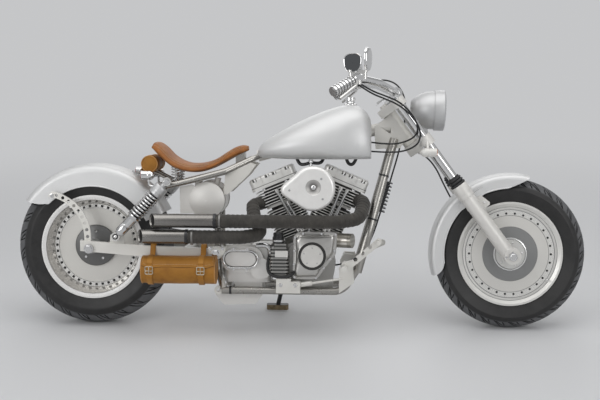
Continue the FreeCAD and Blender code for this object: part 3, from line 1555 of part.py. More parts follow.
def forward_controls(side):
    """Bracket, peg and drilled pedal at the front of a lower rail."""
    y = side * (RAIL_HALF + RAIL_R)
    y0, y1 = sorted((y, y + side * 18.0))
    bracket = plate([(1038.0, 156.0), (1100.0, 200.0), (1094.0, 284.0), (1056.0, 290.0), (1038.0, 262.0)], y0, y1)
    peg = rod((1060.0, y, 271.0), (1060.0, y + side * 150.0, 271.0), 13.0)
    knob = rod((1198.0, y + side * 52.0, 375.0), (1198.0, y + side * 104.0, 375.0), 9.0)
    y2, y3 = sorted((y + side * 56.0, y + side * 64.0))
    lever = plate([
        (1044.0, 262.0),
        (1080.0, 258.0),
        (1204.0, 362.0),
        (1212.0, 378.0, 1194.0, 388.0),
        (1090.0, 300.0),
        (1052.0, 290.0),
    ], y2, y3)
    for i in range(PEDAL_HOLES):
        x = 1104.0 + 30.0 * i
        z = 302.0 + 25.6 * i
        lever = lever.cut(rod((x, y2 - 1.0, z), (x, y3 + 1.0, z), 9.0 - i))
    arm = join(lever, knob)
    if side > 0.0:
        arm.rotate(V(1060.0, 0, 271.0), V(0, 1, 0), SHIFT_LEVER_DROP)
    return join(bracket, peg, arm)


# Stand
def side_stand():
    """Bent leg and foot plate, in its parked place."""
    ground = STAND_FOOT.y * math.tan(math.radians(LEAN_DEG))
    axis = stand_axis()
    half = STAND_HUB_T / 2.0
    leg = bar([
        (STAND_PIVOT.x + 12.0, STAND_PIVOT.y, STAND_PIVOT.z - 4.0),
        (780.0, STAND_PIVOT.y + 12.0, 118.0),
        (762.0, STAND_FOOT.y - 4.0, ground + 14.0),
    ], 9.5, 24.0)
    hub = rod(tuple(STAND_PIVOT - axis * half), tuple(STAND_PIVOT + axis * half), STAND_HUB_R)
    bore = rod(tuple(STAND_PIVOT - axis * 40.0), tuple(STAND_PIVOT + axis * 40.0), STAND_BOLT_R + RUNNING_GAP)
    foot = rounded_block(713.0, 809.0, -16.0, 16.0, 0.0, 22.0, 10.0)
    foot.rotate(V(0, 0, 0), V(1, 0, 0), LEAN_DEG)
    foot.translate(V(0, STAND_FOOT.y, ground))
    inner = rod(tuple(STAND_PIVOT - axis * half), tuple(STAND_PIVOT - axis * (half + 30.0)), STAND_HUB_R + 3.0)
    outer = rod(tuple(STAND_PIVOT + axis * half), tuple(STAND_PIVOT + axis * (half + 30.0)), STAND_HUB_R + 3.0)
    return join(leg.cut(inner).cut(outer), hub, foot).cut(bore)


def stand_axis():
    """Direction of the stand's pivot bolt."""
    tilt = math.radians(STAND_TILT_DEG)
    return V(0, math.cos(tilt), math.sin(tilt))


def build():
    """All nodes in the upright frame."""
    nodes = {}
    nodes["rear_tyre"] = tyre(REAR_TYRE_R, REAR_TYRE_W, REAR_CROWN_R, REAR_RIM_W, 0, REAR_Z)
    nodes["rear_rim"] = rear_rim()
    nodes["rear_pulley"] = rear_pulley()
    nodes["front_tyre"] = tyre(FRONT_TYRE_R, FRONT_TYRE_W, FRONT_CROWN_R, FRONT_RIM_W, WHEELBASE, FRONT_Z)
    nodes["front_rim"] = front_rim()
    nodes["front_rotor"] = front_rotor()

    trees = fork_trees()
    legs = fork_legs()
    nodes["fork_trees"] = trees
    nodes["fork_tubes"] = fork_tubes()
    nodes["dust_boots"] = dust_boots()
    nodes["fork_legs"] = legs
    nodes["front_axle"] = front_axle()
    nodes["front_fender"] = front_fender(legs)
    nodes["front_caliper"] = front_caliper(legs)
    nodes["brake_hose"] = brake_hose(trees, nodes["front_caliper"])
    nodes["handlebar"] = handlebar().cut(trees)
    nodes["grips"] = grips()
    nodes["hand_controls"] = pack(*[c.cut(nodes["handlebar"]).cut(nodes["grips"]) for c in controls()])
    nodes["mirrors"] = pack(*[m.cut(nodes["hand_controls"]) for m in mirror_pair()])
    nodes["headlight"] = headlight(trees)
    nodes["front_signals"] = pack(*[s.cut(trees) for s in front_signals()])

    backbone = frame_backbone()
    nodes["frame_backbone"] = backbone
    nodes["frame_downtubes"] = frame_downtubes(backbone)
    nodes["frame_lower_rails"] = frame_lower_rails(nodes["frame_downtubes"])
    nodes["tie_down_eyes"] = tie_down_eyes(nodes["frame_lower_rails"])
    rear = frame_rear(nodes["frame_lower_rails"], nodes["tie_down_eyes"], backbone)
    nodes["frame_rear"] = rear
    nodes["regulator"] = regulator(nodes["frame_downtubes"])
    nodes["swingarm"] = swingarm()
    nodes["rear_axle"] = rear_axle()
    nodes["rear_caliper"] = rear_caliper(nodes["swingarm"])
    nodes["shocks"] = pack(shock(-1.0).cut(rear), shock(1.0).cut(rear))
    nodes["rear_fender"] = rear_fender()
    nodes["fender_struts"] = pack(*[s.cut(nodes["rear_fender"]).cut(nodes["swingarm"]) for s in fender_struts()])
    nodes["seat"] = seat().cut(rear)
    nodes["seat_springs"] = seat_springs(rear)
    nodes["fuel_tank"] = fuel_tank(backbone).cut(rear)
    nodes["fuel_cap"] = fuel_cap(nodes["fuel_tank"])
    nodes["oil_tank"] = oil_tank().cut(rear)

    crank = crankcase()
    nodes["crankcase"] = crank
    nodes["cylinders"] = pack(cylinder(1.0).cut(crank), cylinder(-1.0).cut(crank))
    nodes["cylinder_heads"] = pack(head(1.0), head(-1.0))
    cover = cam_cover(crank)
    nodes["cam_cover"] = cover
    nodes["pushrod_tubes"] = pushrod_tubes([cover, nodes["cylinders"], nodes["cylinder_heads"]])
    nodes["air_cleaner"] = air_cleaner()
    nodes["intake"] = intake([nodes["air_cleaner"], nodes["cylinders"], nodes["cylinder_heads"]])
    nodes["primary_cover"] = primary_cover().cut(crank)
    gearbox = join(transmission(crank), gearbox_pulley()).cut(rear)
    nodes["transmission"] = gearbox
    nodes["oil_pan"] = oil_pan().cut(nodes["frame_lower_rails"]).cut(gearbox)
    filters = [s.cut(cover).cut(crank).cut(gearbox).cut(nodes["cylinders"]) for s in oil_filter()]
    nodes["oil_filter"] = pack(*filters)
    nodes["brake_master"] = brake_master(nodes["frame_lower_rails"], cover)
    heads = nodes["cylinder_heads"].fuse(nodes["cylinders"])
    nodes["exhaust_pipes"] = join(exhaust_front(heads), exhaust_rear(heads), exhaust_hanger(rear))
    nodes["drive_belt"] = drive_belt()
    nodes["leather_rolls"] = pack(tool_roll(), pouch())
    nodes["rear_lights"] = rear_lights(rear, nodes["rear_fender"])
    pedals = [forward_controls(-1.0).cut(nodes["brake_master"]), forward_controls(1.0)]
    nodes["foot_controls"] = pack(*pedals)
    carried = [nodes[name] for name in ("hand_controls", "fuel_tank", "crankcase", "handlebar")]
    nodes["throttle_cable"] = throttle_cable(carried)
    nodes["return_cable"] = return_cable(carried)
    nodes["clutch_cable"] = clutch_cable(carried)
    nodes["side_stand"] = side_stand()
    return nodes


def lean(nodes):
    """Leans the bike to its left and centres its box over the origin; returns the shift."""
    low = V(1e9, 1e9, 1e9)
    high = V(-1e9, -1e9, -1e9)
    for shape in nodes.values():
        shape.rotate(V(0, 0, 0), V(1, 0, 0), -LEAN_DEG)
        box = shape.optimalBoundingBox(False)
        low = V(min(low.x, box.XMin), min(low.y, box.YMin), min(low.z, box.ZMin))
        high = V(max(high.x, box.XMax), max(high.y, box.YMax), max(high.z, box.ZMax))
    shift = V(-(low.x + high.x) / 2.0, -(low.y + high.y) / 2.0, -low.z)
    for shape in nodes.values():
        shape.translate(shift)
    return shift


def main():
    """Builds, leans and writes every node."""
    os.makedirs("parts", exist_ok=True)
    nodes = build()
    shift = lean(nodes)
    for name, shape in nodes.items():
        shape.exportStep("parts/" + name + ".step")
    return nodes, shift


NODES, SHIFT = main()
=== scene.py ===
import math

import bmesh
import bpy
import numpy as np
from mathutils import Matrix, Vector


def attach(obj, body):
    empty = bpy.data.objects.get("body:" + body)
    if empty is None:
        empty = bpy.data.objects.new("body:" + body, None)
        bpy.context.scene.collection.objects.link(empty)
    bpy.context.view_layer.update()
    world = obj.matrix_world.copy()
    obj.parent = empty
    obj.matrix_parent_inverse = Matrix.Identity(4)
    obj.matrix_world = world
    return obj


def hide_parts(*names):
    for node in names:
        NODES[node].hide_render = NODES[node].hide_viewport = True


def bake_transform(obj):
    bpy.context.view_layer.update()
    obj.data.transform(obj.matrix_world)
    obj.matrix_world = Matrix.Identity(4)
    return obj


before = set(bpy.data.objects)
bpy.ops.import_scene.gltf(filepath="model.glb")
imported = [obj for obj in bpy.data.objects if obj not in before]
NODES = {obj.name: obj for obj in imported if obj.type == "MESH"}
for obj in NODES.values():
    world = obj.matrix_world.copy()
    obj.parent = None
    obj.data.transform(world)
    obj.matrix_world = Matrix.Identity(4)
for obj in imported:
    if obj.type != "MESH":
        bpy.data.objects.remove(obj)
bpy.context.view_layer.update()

# The upright bike frame of the part's source, in millimetres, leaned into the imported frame
LEAN = math.radians(8)
SHIFT = Vector((-0.866, -0.1325196, 0))
BIKE = Matrix.Translation(SHIFT) @ Matrix.Rotation(-LEAN, 4, "X") @ Matrix.Scale(0.001, 4)

# Directions in the bike frame
AHEAD = (1, 0, 0)
BACK = (-1, 0, 0)
LEFT = (0, 1, 0)
RIGHT = (0, -1, 0)
UP = (0, 0, 1)
SIDES = (-1, 1)

# Sizes repeated from the part's source, millimetres
WHEELBASE = 1748
REAR_R = 330
REAR_CROWN = 95
FRONT_R = 314
FRONT_CROWN = 68
REAR_HUB = (0, 0, REAR_R + REAR_CROWN * (1 / math.cos(LEAN) - 1))
FRONT_HUB = (WHEELBASE, 0, FRONT_R + FRONT_CROWN * (1 / math.cos(LEAN) - 1))
BEAD_R = 204
LIP_R = 218
CRANK = (907, 0, 256)
BANK = math.radians(22.5)
RAKE = math.radians(36.5)
FORK_WAY = (-math.sin(RAKE), 0, math.cos(RAKE))
FORK_HALF = 115
TREE_TOP = 802
PIPE_R = 26
PIPE_Y = -238
UPPER_PIPE_Z = 457
LOWER_PIPE_Z = 392
BREATHER = (933, 0, 597)
ROCKER_BOLTS_X = (-72, -14, 18, 74)


def to_row(points):
    """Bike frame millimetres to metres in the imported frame."""
    matrix = np.array(BIKE)
    return np.asarray(points, float) @ matrix[:3, :3].T + matrix[:3, 3]


def unit(vector):
    """A vector's direction."""
    vector = np.asarray(vector, float)
    return vector / np.linalg.norm(vector)


def full_turn(count):
    """Angles evenly spaced over one turn."""
    return np.linspace(0, math.tau, count, endpoint=False)


def run_along(path):
    """Distance along a path at each of its points."""
    return np.concatenate(([0], np.cumsum(np.linalg.norm(np.diff(path, axis=0), axis=1))))


def placed(name, data):
    """An object in the scene."""
    obj = bpy.data.objects.new(name, data)
    bpy.context.scene.collection.objects.link(obj)
    return obj


# Materials

class Field:
    """A node's output, with arithmetic that adds nodes."""

    def __init__(self, graph, socket):
        self.graph = graph
        self.socket = socket

    def math(self, operation, other=0, swapped=False):
        a, b = (other, self) if swapped else (self, other)
        return self.graph.field("Math", {0: a, 1: b}, operation=operation)

    def __add__(self, other):
        return self.math("ADD", other)

    def __sub__(self, other):
        return self.math("SUBTRACT", other)

    def __rsub__(self, other):
        return self.math("SUBTRACT", other, True)

    def __mul__(self, other):
        return self.math("MULTIPLY", other)

    def __pow__(self, other):
        return self.math("POWER", other)

    def __abs__(self):
        return self.math("ABSOLUTE")

    def larger(self, other):
        return self.math("MAXIMUM", other)

    def span(self, low, high, start=0, end=1):
        """Maps a range onto another, held at its ends."""
        inputs = {"Value": self, "From Min": low, "From Max": high, "To Min": start, "To Max": end}
        return self.graph.field("MapRange", inputs, interpolation_type="SMOOTHSTEP")

    def ramp(self, *stops):
        """Colours at places along the value."""
        node = self.graph.node("ValToRGB", {"Fac": self})
        elements = node.color_ramp.elements
        while len(elements) < len(stops):
            elements.new(0.5)
        for element, (place, color) in zip(elements, stops):
            element.position = place
            element.color = (*color, 1)
        return Field(self.graph, node.outputs["Color"])

    def mix(self, a, b):
        """Goes from one colour to another as the value goes from 0 to 1."""
        return self.graph.field("Mix", {"Factor": self, "A": a, "B": b}, "Result", data_type="RGBA")


class Graph:
    """Adds nodes to a tree."""

    def __init__(self, tree):
        self.tree = tree

    def put(self, socket, value):
        """Links a socket's source or sets its value."""
        if isinstance(value, Field):
            self.tree.links.new(value.socket, socket)
        else:
            socket.default_value = (*value, 1) if socket.type == "RGBA" else value

    def node(self, kind, inputs, **settings):
        """A node with its settings and inputs."""
        node = self.tree.nodes.new("ShaderNode" + kind)
        for key, value in settings.items():
            setattr(node, key, value)
        for key, value in inputs.items():
            self.put(node.inputs[key], value)
        return node

    def field(self, kind, inputs, output=0, **settings):
        """One output of a new node."""
        return Field(self, self.node(kind, inputs, **settings).outputs[output])


class Look(Graph):
    """One procedural material, with coordinates in the bike frame in metres."""

    def __init__(self, name, color, roughness, metallic=0, **sockets):
        self.material = bpy.data.materials.new(name)
        self.material.use_nodes = True
        super().__init__(self.material.node_tree)
        self.shader = self.tree.nodes["Principled BSDF"]
        self.drive(color, roughness, metallic)
        for socket, value in sockets.items():
            self.put(self.shader.inputs[socket.replace("_", " ")], value)
        location = Matrix.Rotation(LEAN, 3, "X") @ -SHIFT
        source = self.field("TexCoord", {}, "Object")
        self.place = self.field("Mapping", {"Vector": source, "Rotation": (LEAN, 0, 0), "Location": location})

    def drive(self, color=None, rough=None, metal=None):
        """Sources or values for the colour, roughness and metal."""
        for socket, value in (("Base Color", color), ("Roughness", rough), ("Metallic", metal)):
            if value is not None:
                self.put(self.shader.inputs[socket], value)

    def bump(self, height, strength, distance):
        """Adds relief on top of what is there."""
        normal = self.shader.inputs["Normal"]
        inputs = {"Height": height, "Strength": strength, "Distance": distance}
        if normal.is_linked:
            inputs["Normal"] = Field(self, normal.links[0].from_socket)
        self.put(normal, self.field("Bump", inputs))
        return self

    def noise(self, scale, detail=3, rough=0.5, place=None):
        """Noise between 0 and 1."""
        inputs = {"Vector": place or self.place, "Scale": scale, "Detail": detail, "Roughness": rough}
        return self.field("TexNoise", inputs, "Fac")

    def cells(self, scale, feature="F1"):
        """Distance to the nearest cell point."""
        return self.field("TexVoronoi", {"Vector": self.place, "Scale": scale}, "Distance", feature=feature)

    def vector(self, operation, a, b=(0, 0, 0), output="Vector"):
        """One vector step."""
        return self.field("VectorMath", {0: a, 1: b}, output, operation=operation)

    def stretched(self, x, y, z):
        """Coordinates scaled along each axis."""
        return self.vector("MULTIPLY", self.place, (x, y, z))

    def away(self, place, point, axis):
        """Distance of a place from a line through a point."""
        arm = self.vector("SUBTRACT", place, tuple(point))
        cross = self.vector("CROSS_PRODUCT", arm, tuple(axis))
        return self.vector("LENGTH", cross, output="Value")

    def around(self, point, axis=LEFT):
        """Distance from a line through a point, in millimetres."""
        return self.away(self.place, [c / 1000 for c in point], axis) * 1000

    def axis(self, index):
        """One bike frame coordinate in millimetres."""
        return self.field("SeparateXYZ", {"Vector": self.place}, index) * 1000


def shade(color, factor):
    """A colour made lighter or darker."""
    return tuple(min(1, c * factor) for c in color)


def grey(value):
    return value, value, value


def varied(look, color, spread, scale):
    """Slow colour change over a surface."""
    stops = (0.25, shade(color, 1 - spread)), (0.75, shade(color, 1 + spread))
    look.drive(look.noise(scale, 4).ramp(*stops))


def silver_paint(name, color, metallic):
    """Satin metallic paint under a thin clear coat."""
    look = Look(name, color, 0.42, metallic, Coat_Weight=0.05, Coat_Roughness=0.3)
    flakes = look.noise(1500, 2)
    tone = flakes.span(0.3, 0.7).mix(shade(color, 1.03), shade(color, 0.97))
    slow = look.noise(5, 2).span(0.3, 0.7, 0, 0.4)
    look.drive(slow.mix(tone, shade(color, 0.96)), look.noise(40, 4).span(0.2, 0.8, 0.41, 0.47))
    return look.bump(flakes, 0.02, 0.0002)


def chrome(name, color=grey(0.70), low=0.06, high=0.10):
    """Plated metal with faint wiping marks."""
    look = Look(name, color, low, 1)
    marks = look.noise(1, 3, 0.6, look.stretched(60, 60, 420))
    look.drive(look.noise(9, 2).span(0.3, 0.8).mix(color, shade(color, 0.93)), marks.span(0.3, 0.75, low, high))
    return look.bump(marks, 0.01, 0.0002)


def cast_alloy(name, color, grain=1400, strength=0.10, rough=0.34, metallic=0.85, grime=0.93):
    """Cast or blasted metal: fine even grain and slightly darker hollows."""
    look = Look(name, color, rough, metallic)
    pits = look.noise(grain, 2, 0.6)
    tone = look.noise(7).ramp((0.3, shade(color, grime)), (0.65, color))
    look.drive(pits.span(0.35, 0.7, 0, 0.25).mix(tone, shade(color, 1 - strength)),
               look.noise(30).span(0.2, 0.8, rough - 0.03, rough + 0.04))
    return look.bump(pits, strength, 0.0003)


def frame_paint(name, color):
    look = Look(name, color, 0.36, 0.25, Coat_Weight=0.25, Coat_Roughness=0.2)
    varied(look, color, 0.05, 11)
    look.drive(rough=look.noise(90, 4).span(0.2, 0.8, 0.32, 0.44))
    return look.bump(look.noise(1300, 2), 0.06, 0.0004)


def leather(name, color, dark, grain=620):
    look = Look(name, color, 0.5, 0, Specular_IOR_Level=0.30, Sheen_Weight=0.03, Sheen_Roughness=0.5)
    pores = look.cells(grain)
    creases = look.cells(grain * 0.31, "DISTANCE_TO_EDGE")
    worn = look.noise(46, 6, 0.7)
    tone = look.noise(14, 5, 0.6).ramp((0.25, dark), (0.50, color), (0.80, shade(color, 1.22)))
    look.drive(worn.span(0.52, 0.78, 0, 0.55).mix(tone, shade(color, 1.15)), worn.span(0.3, 0.7, 0.44, 0.60))
    look.bump(creases, 0.22, 0.0007)
    return look.bump(pores, 0.28, 0.0005)


def rubber(name, color=(0.030, 0.030, 0.031), rough=0.55, grain=800):
    look = Look(name, color, rough, 0, Specular_IOR_Level=0.35)
    varied(look, color, 0.25, 20)
    look.drive(rough=look.noise(50, 5).span(0.25, 0.75, rough - 0.10, rough + 0.12))
    return look.bump(look.noise(grain, 4, 0.7), 0.10, 0.0005)


def tyre_rubber(name, centre, radius, crown, shoulder):
    """Sidewall dark with fine rings; the tread paler, partly dust and partly a painted highlight; painted shade
    makes the grooves black.
    """
    look = Look(name, grey(0.03), 0.6, 0, Specular_IOR_Level=0.4)
    reach = look.around(centre)
    profile = (crown ** 2 - look.axis(1) ** 2).larger(0).math("SQRT")
    depth = profile + (radius - crown) - reach
    dust = look.noise(24, 5, 0.6)
    # The tread's paler grey is partly dust and partly a painted highlight along the crown.
    tread = dust.ramp((0.3, (0.085, 0.086, 0.090)), (0.7, (0.140, 0.142, 0.147)))
    side = dust.ramp((0.3, grey(0.014)), (0.7, (0.026, 0.025, 0.025)))
    share = reach.span(shoulder - 5, shoulder + 5)
    # Painted shade: the grooves of the tread go near black.
    groove = share * depth.span(1.2, 2.8)
    look.drive(groove.mix(share.mix(side, tread), grey(0.008)),
               reach.span(shoulder - 5, shoulder + 5, 0.42, 0.66) + dust.span(0.3, 0.7, -0.05, 0.08))
    look.bump((reach * 1.9).math("SINE") * reach.span(shoulder - 12, shoulder, 1, 0), 0.12, 0.0006)
    return look.bump(look.noise(700, 4, 0.7), 0.10, 0.0004)


def turned_wheel(name, centre, bands, holes, ring_radius, reach, square):
    """Lathe turned metal whose tone and gloss change by radius, with painted shade making a ring of openings dark.
    """
    look = Look(name, grey(0.6), 0.3, 0.55)
    radius = look.around(centre)
    marks = look.noise(1, 2, 0.6, look.field("CombineXYZ", {0: radius * 2.6}))
    color, rough = bands[0][1:]
    for (_, _, before), (place, tone, gloss) in zip(bands, bands[1:]):
        color = radius.span(place - 0.6, place + 0.6).mix(color, tone)
        rough = radius.span(place - 0.6, place + 0.6, 0, gloss - before) + rough
    rough = marks.span(0.3, 0.7, -0.03, 0.04) + rough
    color = marks.span(0.35, 0.7, 0, 0.16).mix(color, grey(0.30))
    turn = (look.axis(2) - centre[2]).math("ARCTAN2", look.axis(0) - centre[0]) * (holes / math.tau) + 0.5
    across = abs((turn.math("FRACT") - 0.5) * (math.tau * ring_radius / holes))
    out = abs(radius - ring_radius)
    away = across.larger(out) if square else (across ** 2 + out ** 2).math("SQRT")
    # Painted shade: the ring of openings goes near black, rougher and less metallic.
    opening_shade = away.span(reach - 0.4, reach + 0.8, 1, 0)
    look.drive(opening_shade.mix(color, (0.012, 0.012, 0.013)), opening_shade * 0.4 + rough, opening_shade.span(0, 1, 0.55, 0))
    return look.bump(marks, 0.06, 0.0004)


def fin_look(name, half_x, half_y, corner, low, high, bright):
    """Bright fin edges over dark gaps, with painted shade in the rocker boxes' bolt notches, both banks folded
    together.
    """
    look = Look(name, bright, 0.32, 0.8)
    x = abs(look.axis(0) - CRANK[0])
    z = look.axis(2) - CRANK[2]
    across = abs(look.axis(1))
    side = x * math.cos(BANK) - z * math.sin(BANK)
    up = z * math.cos(BANK) + x * math.sin(BANK)
    qx = (abs(side) - (half_x - corner)).larger(0)
    qy = (across - (half_y - corner)).larger(0)
    edge = (qx ** 2 + qy ** 2).math("SQRT").span(corner - 4.5, corner - 1.5)
    zone = up.span(low - 1, low + 1) * up.span(high - 1, high + 1, 1, 0)
    gap = zone * (1 - edge)
    clean = look.noise(26, 5, 0.6).ramp((0.3, shade(bright, 0.86)), (0.65, bright))
    dark = gap.larger(abs(up - 385).span(0.8, 1.8, 0.8, 0))
    # Painted shade darkens the bolt notches on top of the rocker boxes.
    notch_shade = up.span(409, 411) * across.span(58.5, 60)
    for place in ROCKER_BOLTS_X:
        dark = dark.larger(notch_shade * abs(side - place).span(8, 9.5, 0.9, 0))
    look.drive(dark.mix(clean, (0.045, 0.043, 0.040)), gap.span(0, 1, 0.30, 0.62), (1 - dark) * 0.2)
    return look.bump(look.noise(1100, 3, 0.7), 0.16, 0.0005)


def grip_look(name):
    """Polished ribs with darker, rougher metal between them, on both grips."""
    look = Look(name, grey(0.7), 0.2, 1)
    folded = look.field("CombineXYZ", {0: look.axis(0), 1: abs(look.axis(1)), 2: look.axis(2)})
    inner = np.array((1106, 320, 1034))
    share = look.away(folded, inner, unit((1013, 402, 977) - inner)).span(19.2, 20.4)
    look.drive(share.mix(grey(0.34), grey(0.78)), share.span(0, 1, 0.40, 0.16), share.span(0, 1, 0.9, 1))
    return look.bump(look.noise(500), 0.06, 0.0005)


def brushed_pipe(name):
    """Smoke stained pipe ends, brushed along their length, with painted shade making them black inside."""
    look = Look(name, (0.36, 0.34, 0.32), 0.24, 1)
    streaks = look.noise(1, 4, 0.6, look.stretched(12, 700, 700))
    base = look.axis(0).span(180, 540).mix((0.29, 0.28, 0.265), (0.21, 0.20, 0.19))
    base = streaks.span(0.35, 0.7, 0, 0.3).mix(base, (0.17, 0.165, 0.155))
    upper, lower = (look.around((0, PIPE_Y, z), AHEAD) for z in (UPPER_PIPE_Z, LOWER_PIPE_Z))
    # Painted shade: the inside of each sleeve goes near black, rough and not metallic.
    inside = upper.math("MINIMUM", lower).span(25.2, 25.8, 1, 0) * look.axis(0).span(420, 430, 1, 0)
    look.drive(inside.mix(base, (0.012, 0.011, 0.010)), streaks.span(0.3, 0.7, 0.20, 0.30) + inside * 0.5,
               inside.span(0, 1, 1, 0))
    return look.bump(streaks, 0.05, 0.0003)


def wrap_cloth(name):
    """Woven heat wrap, black brown and scuffed in patches."""
    look = Look(name, (0.05, 0.042, 0.035), 0.8, 0, Sheen_Weight=0.15)
    weave = look.noise(1, 2, 0.5, look.stretched(700, 420, 420))
    threads = look.cells(520)
    base = look.noise(30, 5, 0.6).ramp((0.30, (0.030, 0.027, 0.023)), (0.55, (0.052, 0.047, 0.040)),
                                       (0.80, (0.085, 0.077, 0.066)))
    look.drive(threads.span(0.2, 0.7, 0, 0.4).mix(base, (0.012, 0.011, 0.010)), weave.span(0.3, 0.7, 0.70, 0.88))
    look.bump(threads, 0.25, 0.0006)
    return look.bump(weave, 0.30, 0.0006)


def filter_look(name):
    """Dark ribbed housing, and a beige can with pale stripes in front of the engine."""
    look = Look(name, grey(0.3), 0.34, 0.7)
    along = look.axis(0)
    height = look.axis(2)
    rib = ((height - 225.5) * (math.tau / 14)).math("SINE")
    ribs = rib.span(-0.3, 0.5).mix((0.085, 0.085, 0.082), (0.34, 0.335, 0.32))
    stripe = abs(abs(height - 366) - 9)
    body = stripe.span(3.5, 5.5).mix((0.74, 0.71, 0.66), (0.40, 0.375, 0.33))
    body = (along.span(1066, 1069) * 0.7).mix(body, (0.26, 0.245, 0.21))
    look.drive(along.span(940, 950).mix(ribs, body), look.noise(60, 4).span(0.2, 0.8, 0.28, 0.38))
    return look.bump(look.noise(900, 2), 0.08, 0.0003)


def breather_look(name):
    """Satin air cleaner whose dimple darkens towards its screw, a painted shade."""
    look = Look(name, (0.84, 0.83, 0.81), 0.30, 0.5)
    radius = look.around(BREATHER)
    shine = look.noise(1, 2, 0.5, look.stretched(30, 30, 30))
    tone = shine.span(0.3, 0.7).mix((0.82, 0.81, 0.79), (0.86, 0.85, 0.83))
    # Painted shade in the dimple, darkest at its screw.
    dimple_shade = radius.span(8, 31).mix((0.16, 0.155, 0.15), (0.50, 0.49, 0.475))
    look.drive(radius.span(30, 32.5).mix(dimple_shade, tone), look.noise(40).span(0.2, 0.8, 0.34, 0.39))
    return look.bump(look.noise(500, 2), 0.01, 0.0002)


def rear_frame_look(name):
    """Polished rear tubes with pale painted gussets in front of the uprights."""
    look = Look(name, grey(0.5), 0.3, 0.6)
    along = look.axis(0)
    web = (look.axis(2) - along * 0.48).span(368, 371, 1, 0) * along.span(548, 551)
    fine = look.noise(600, 2)
    tube = fine.span(0.3, 0.7).mix((0.37, 0.358, 0.335), (0.39, 0.378, 0.355))
    paint = fine.span(0.3, 0.7).mix(BEIGE, (0.66, 0.645, 0.605))
    look.drive(web.mix(tube, paint), web.span(0, 1, 0.23, 0.36) + look.noise(30).span(0.2, 0.8, 0, 0.05),
               web.span(0, 1, 0.9, 0.2))
    return look.bump(fine, 0.01, 0.0002)


def lens_look(name, color):
    """Ribbed coloured lens; lighter and darker cells in its colour are a painted reflection of a reflector."""
    look = Look(name, color, 0.06, 0, Coat_Weight=1, Coat_Roughness=0.03)
    # Painted reflection of a reflector: lighter and darker cells in the lens colour.
    look.drive(look.cells(260).span(0.1, 0.6).mix(shade(color, 1.25), shade(color, 0.6)))
    return look.bump((look.axis(2) * 1.6).math("SINE"), 0.12, 0.0008)


def mirror_look(name):
    """Dark silvered glass."""
    look = Look(name, (0.13, 0.135, 0.14), 0.02, 1)
    look.drive(rough=look.noise(9).span(0.3, 0.8, 0.015, 0.05))
    return look


def foot_look(name):
    """Side stand: black leg with a bronze foot block."""
    look = Look(name, grey(0.05), 0.4, 0.3)
    share = look.axis(2).span(46, 52)
    foot = look.noise(60, 5).ramp((0.3, (0.15, 0.11, 0.06)), (0.7, (0.30, 0.235, 0.14)))
    look.drive(share.mix(foot, (0.035, 0.036, 0.038)), share.span(0, 1, 0.46, 0.33))
    return look.bump(look.noise(300, 4), 0.12, 0.0006)


SILVER = (0.66, 0.662, 0.66)
BEIGE = (0.70, 0.685, 0.645)
PALE_CAST = (0.74, 0.725, 0.70)
TAN = (0.30, 0.112, 0.026)
TAN_DARK = (0.19, 0.064, 0.015)
OCHRE = (0.33, 0.145, 0.020)
OCHRE_DARK = (0.22, 0.090, 0.012)
HORIZON = (0.56, 0.565, 0.575)

# Bands of each wheel: from which radius, colour, roughness
REAR_BANDS = (
    (0, (0.45, 0.45, 0.44), 0.30),
    (30, (0.13, 0.13, 0.128), 0.40),
    (87.5, (0.66, 0.645, 0.61), 0.38),
    (158.5, (0.30, 0.30, 0.29), 0.36),
    (160, (0.80, 0.79, 0.76), 0.26),
    (177.5, (0.62, 0.60, 0.57), 0.12),
    (199, (0.86, 0.85, 0.83), 0.24))
FRONT_BANDS = (
    (0, (0.66, 0.655, 0.63), 0.30),
    (62, (0.34, 0.34, 0.33), 0.30),
    (65, (0.80, 0.80, 0.79), 0.18),
    (69.5, (0.235, 0.237, 0.235), 0.46),
    (115, (0.70, 0.685, 0.65), 0.36),
    (159.5, (0.30, 0.295, 0.28), 0.30),
    (162, (0.76, 0.75, 0.72), 0.28),
    (183, grey(0.28), 0.30),
    (186, (0.68, 0.67, 0.645), 0.30),
    (195, grey(0.30), 0.30),
    (197, (0.74, 0.73, 0.70), 0.36))

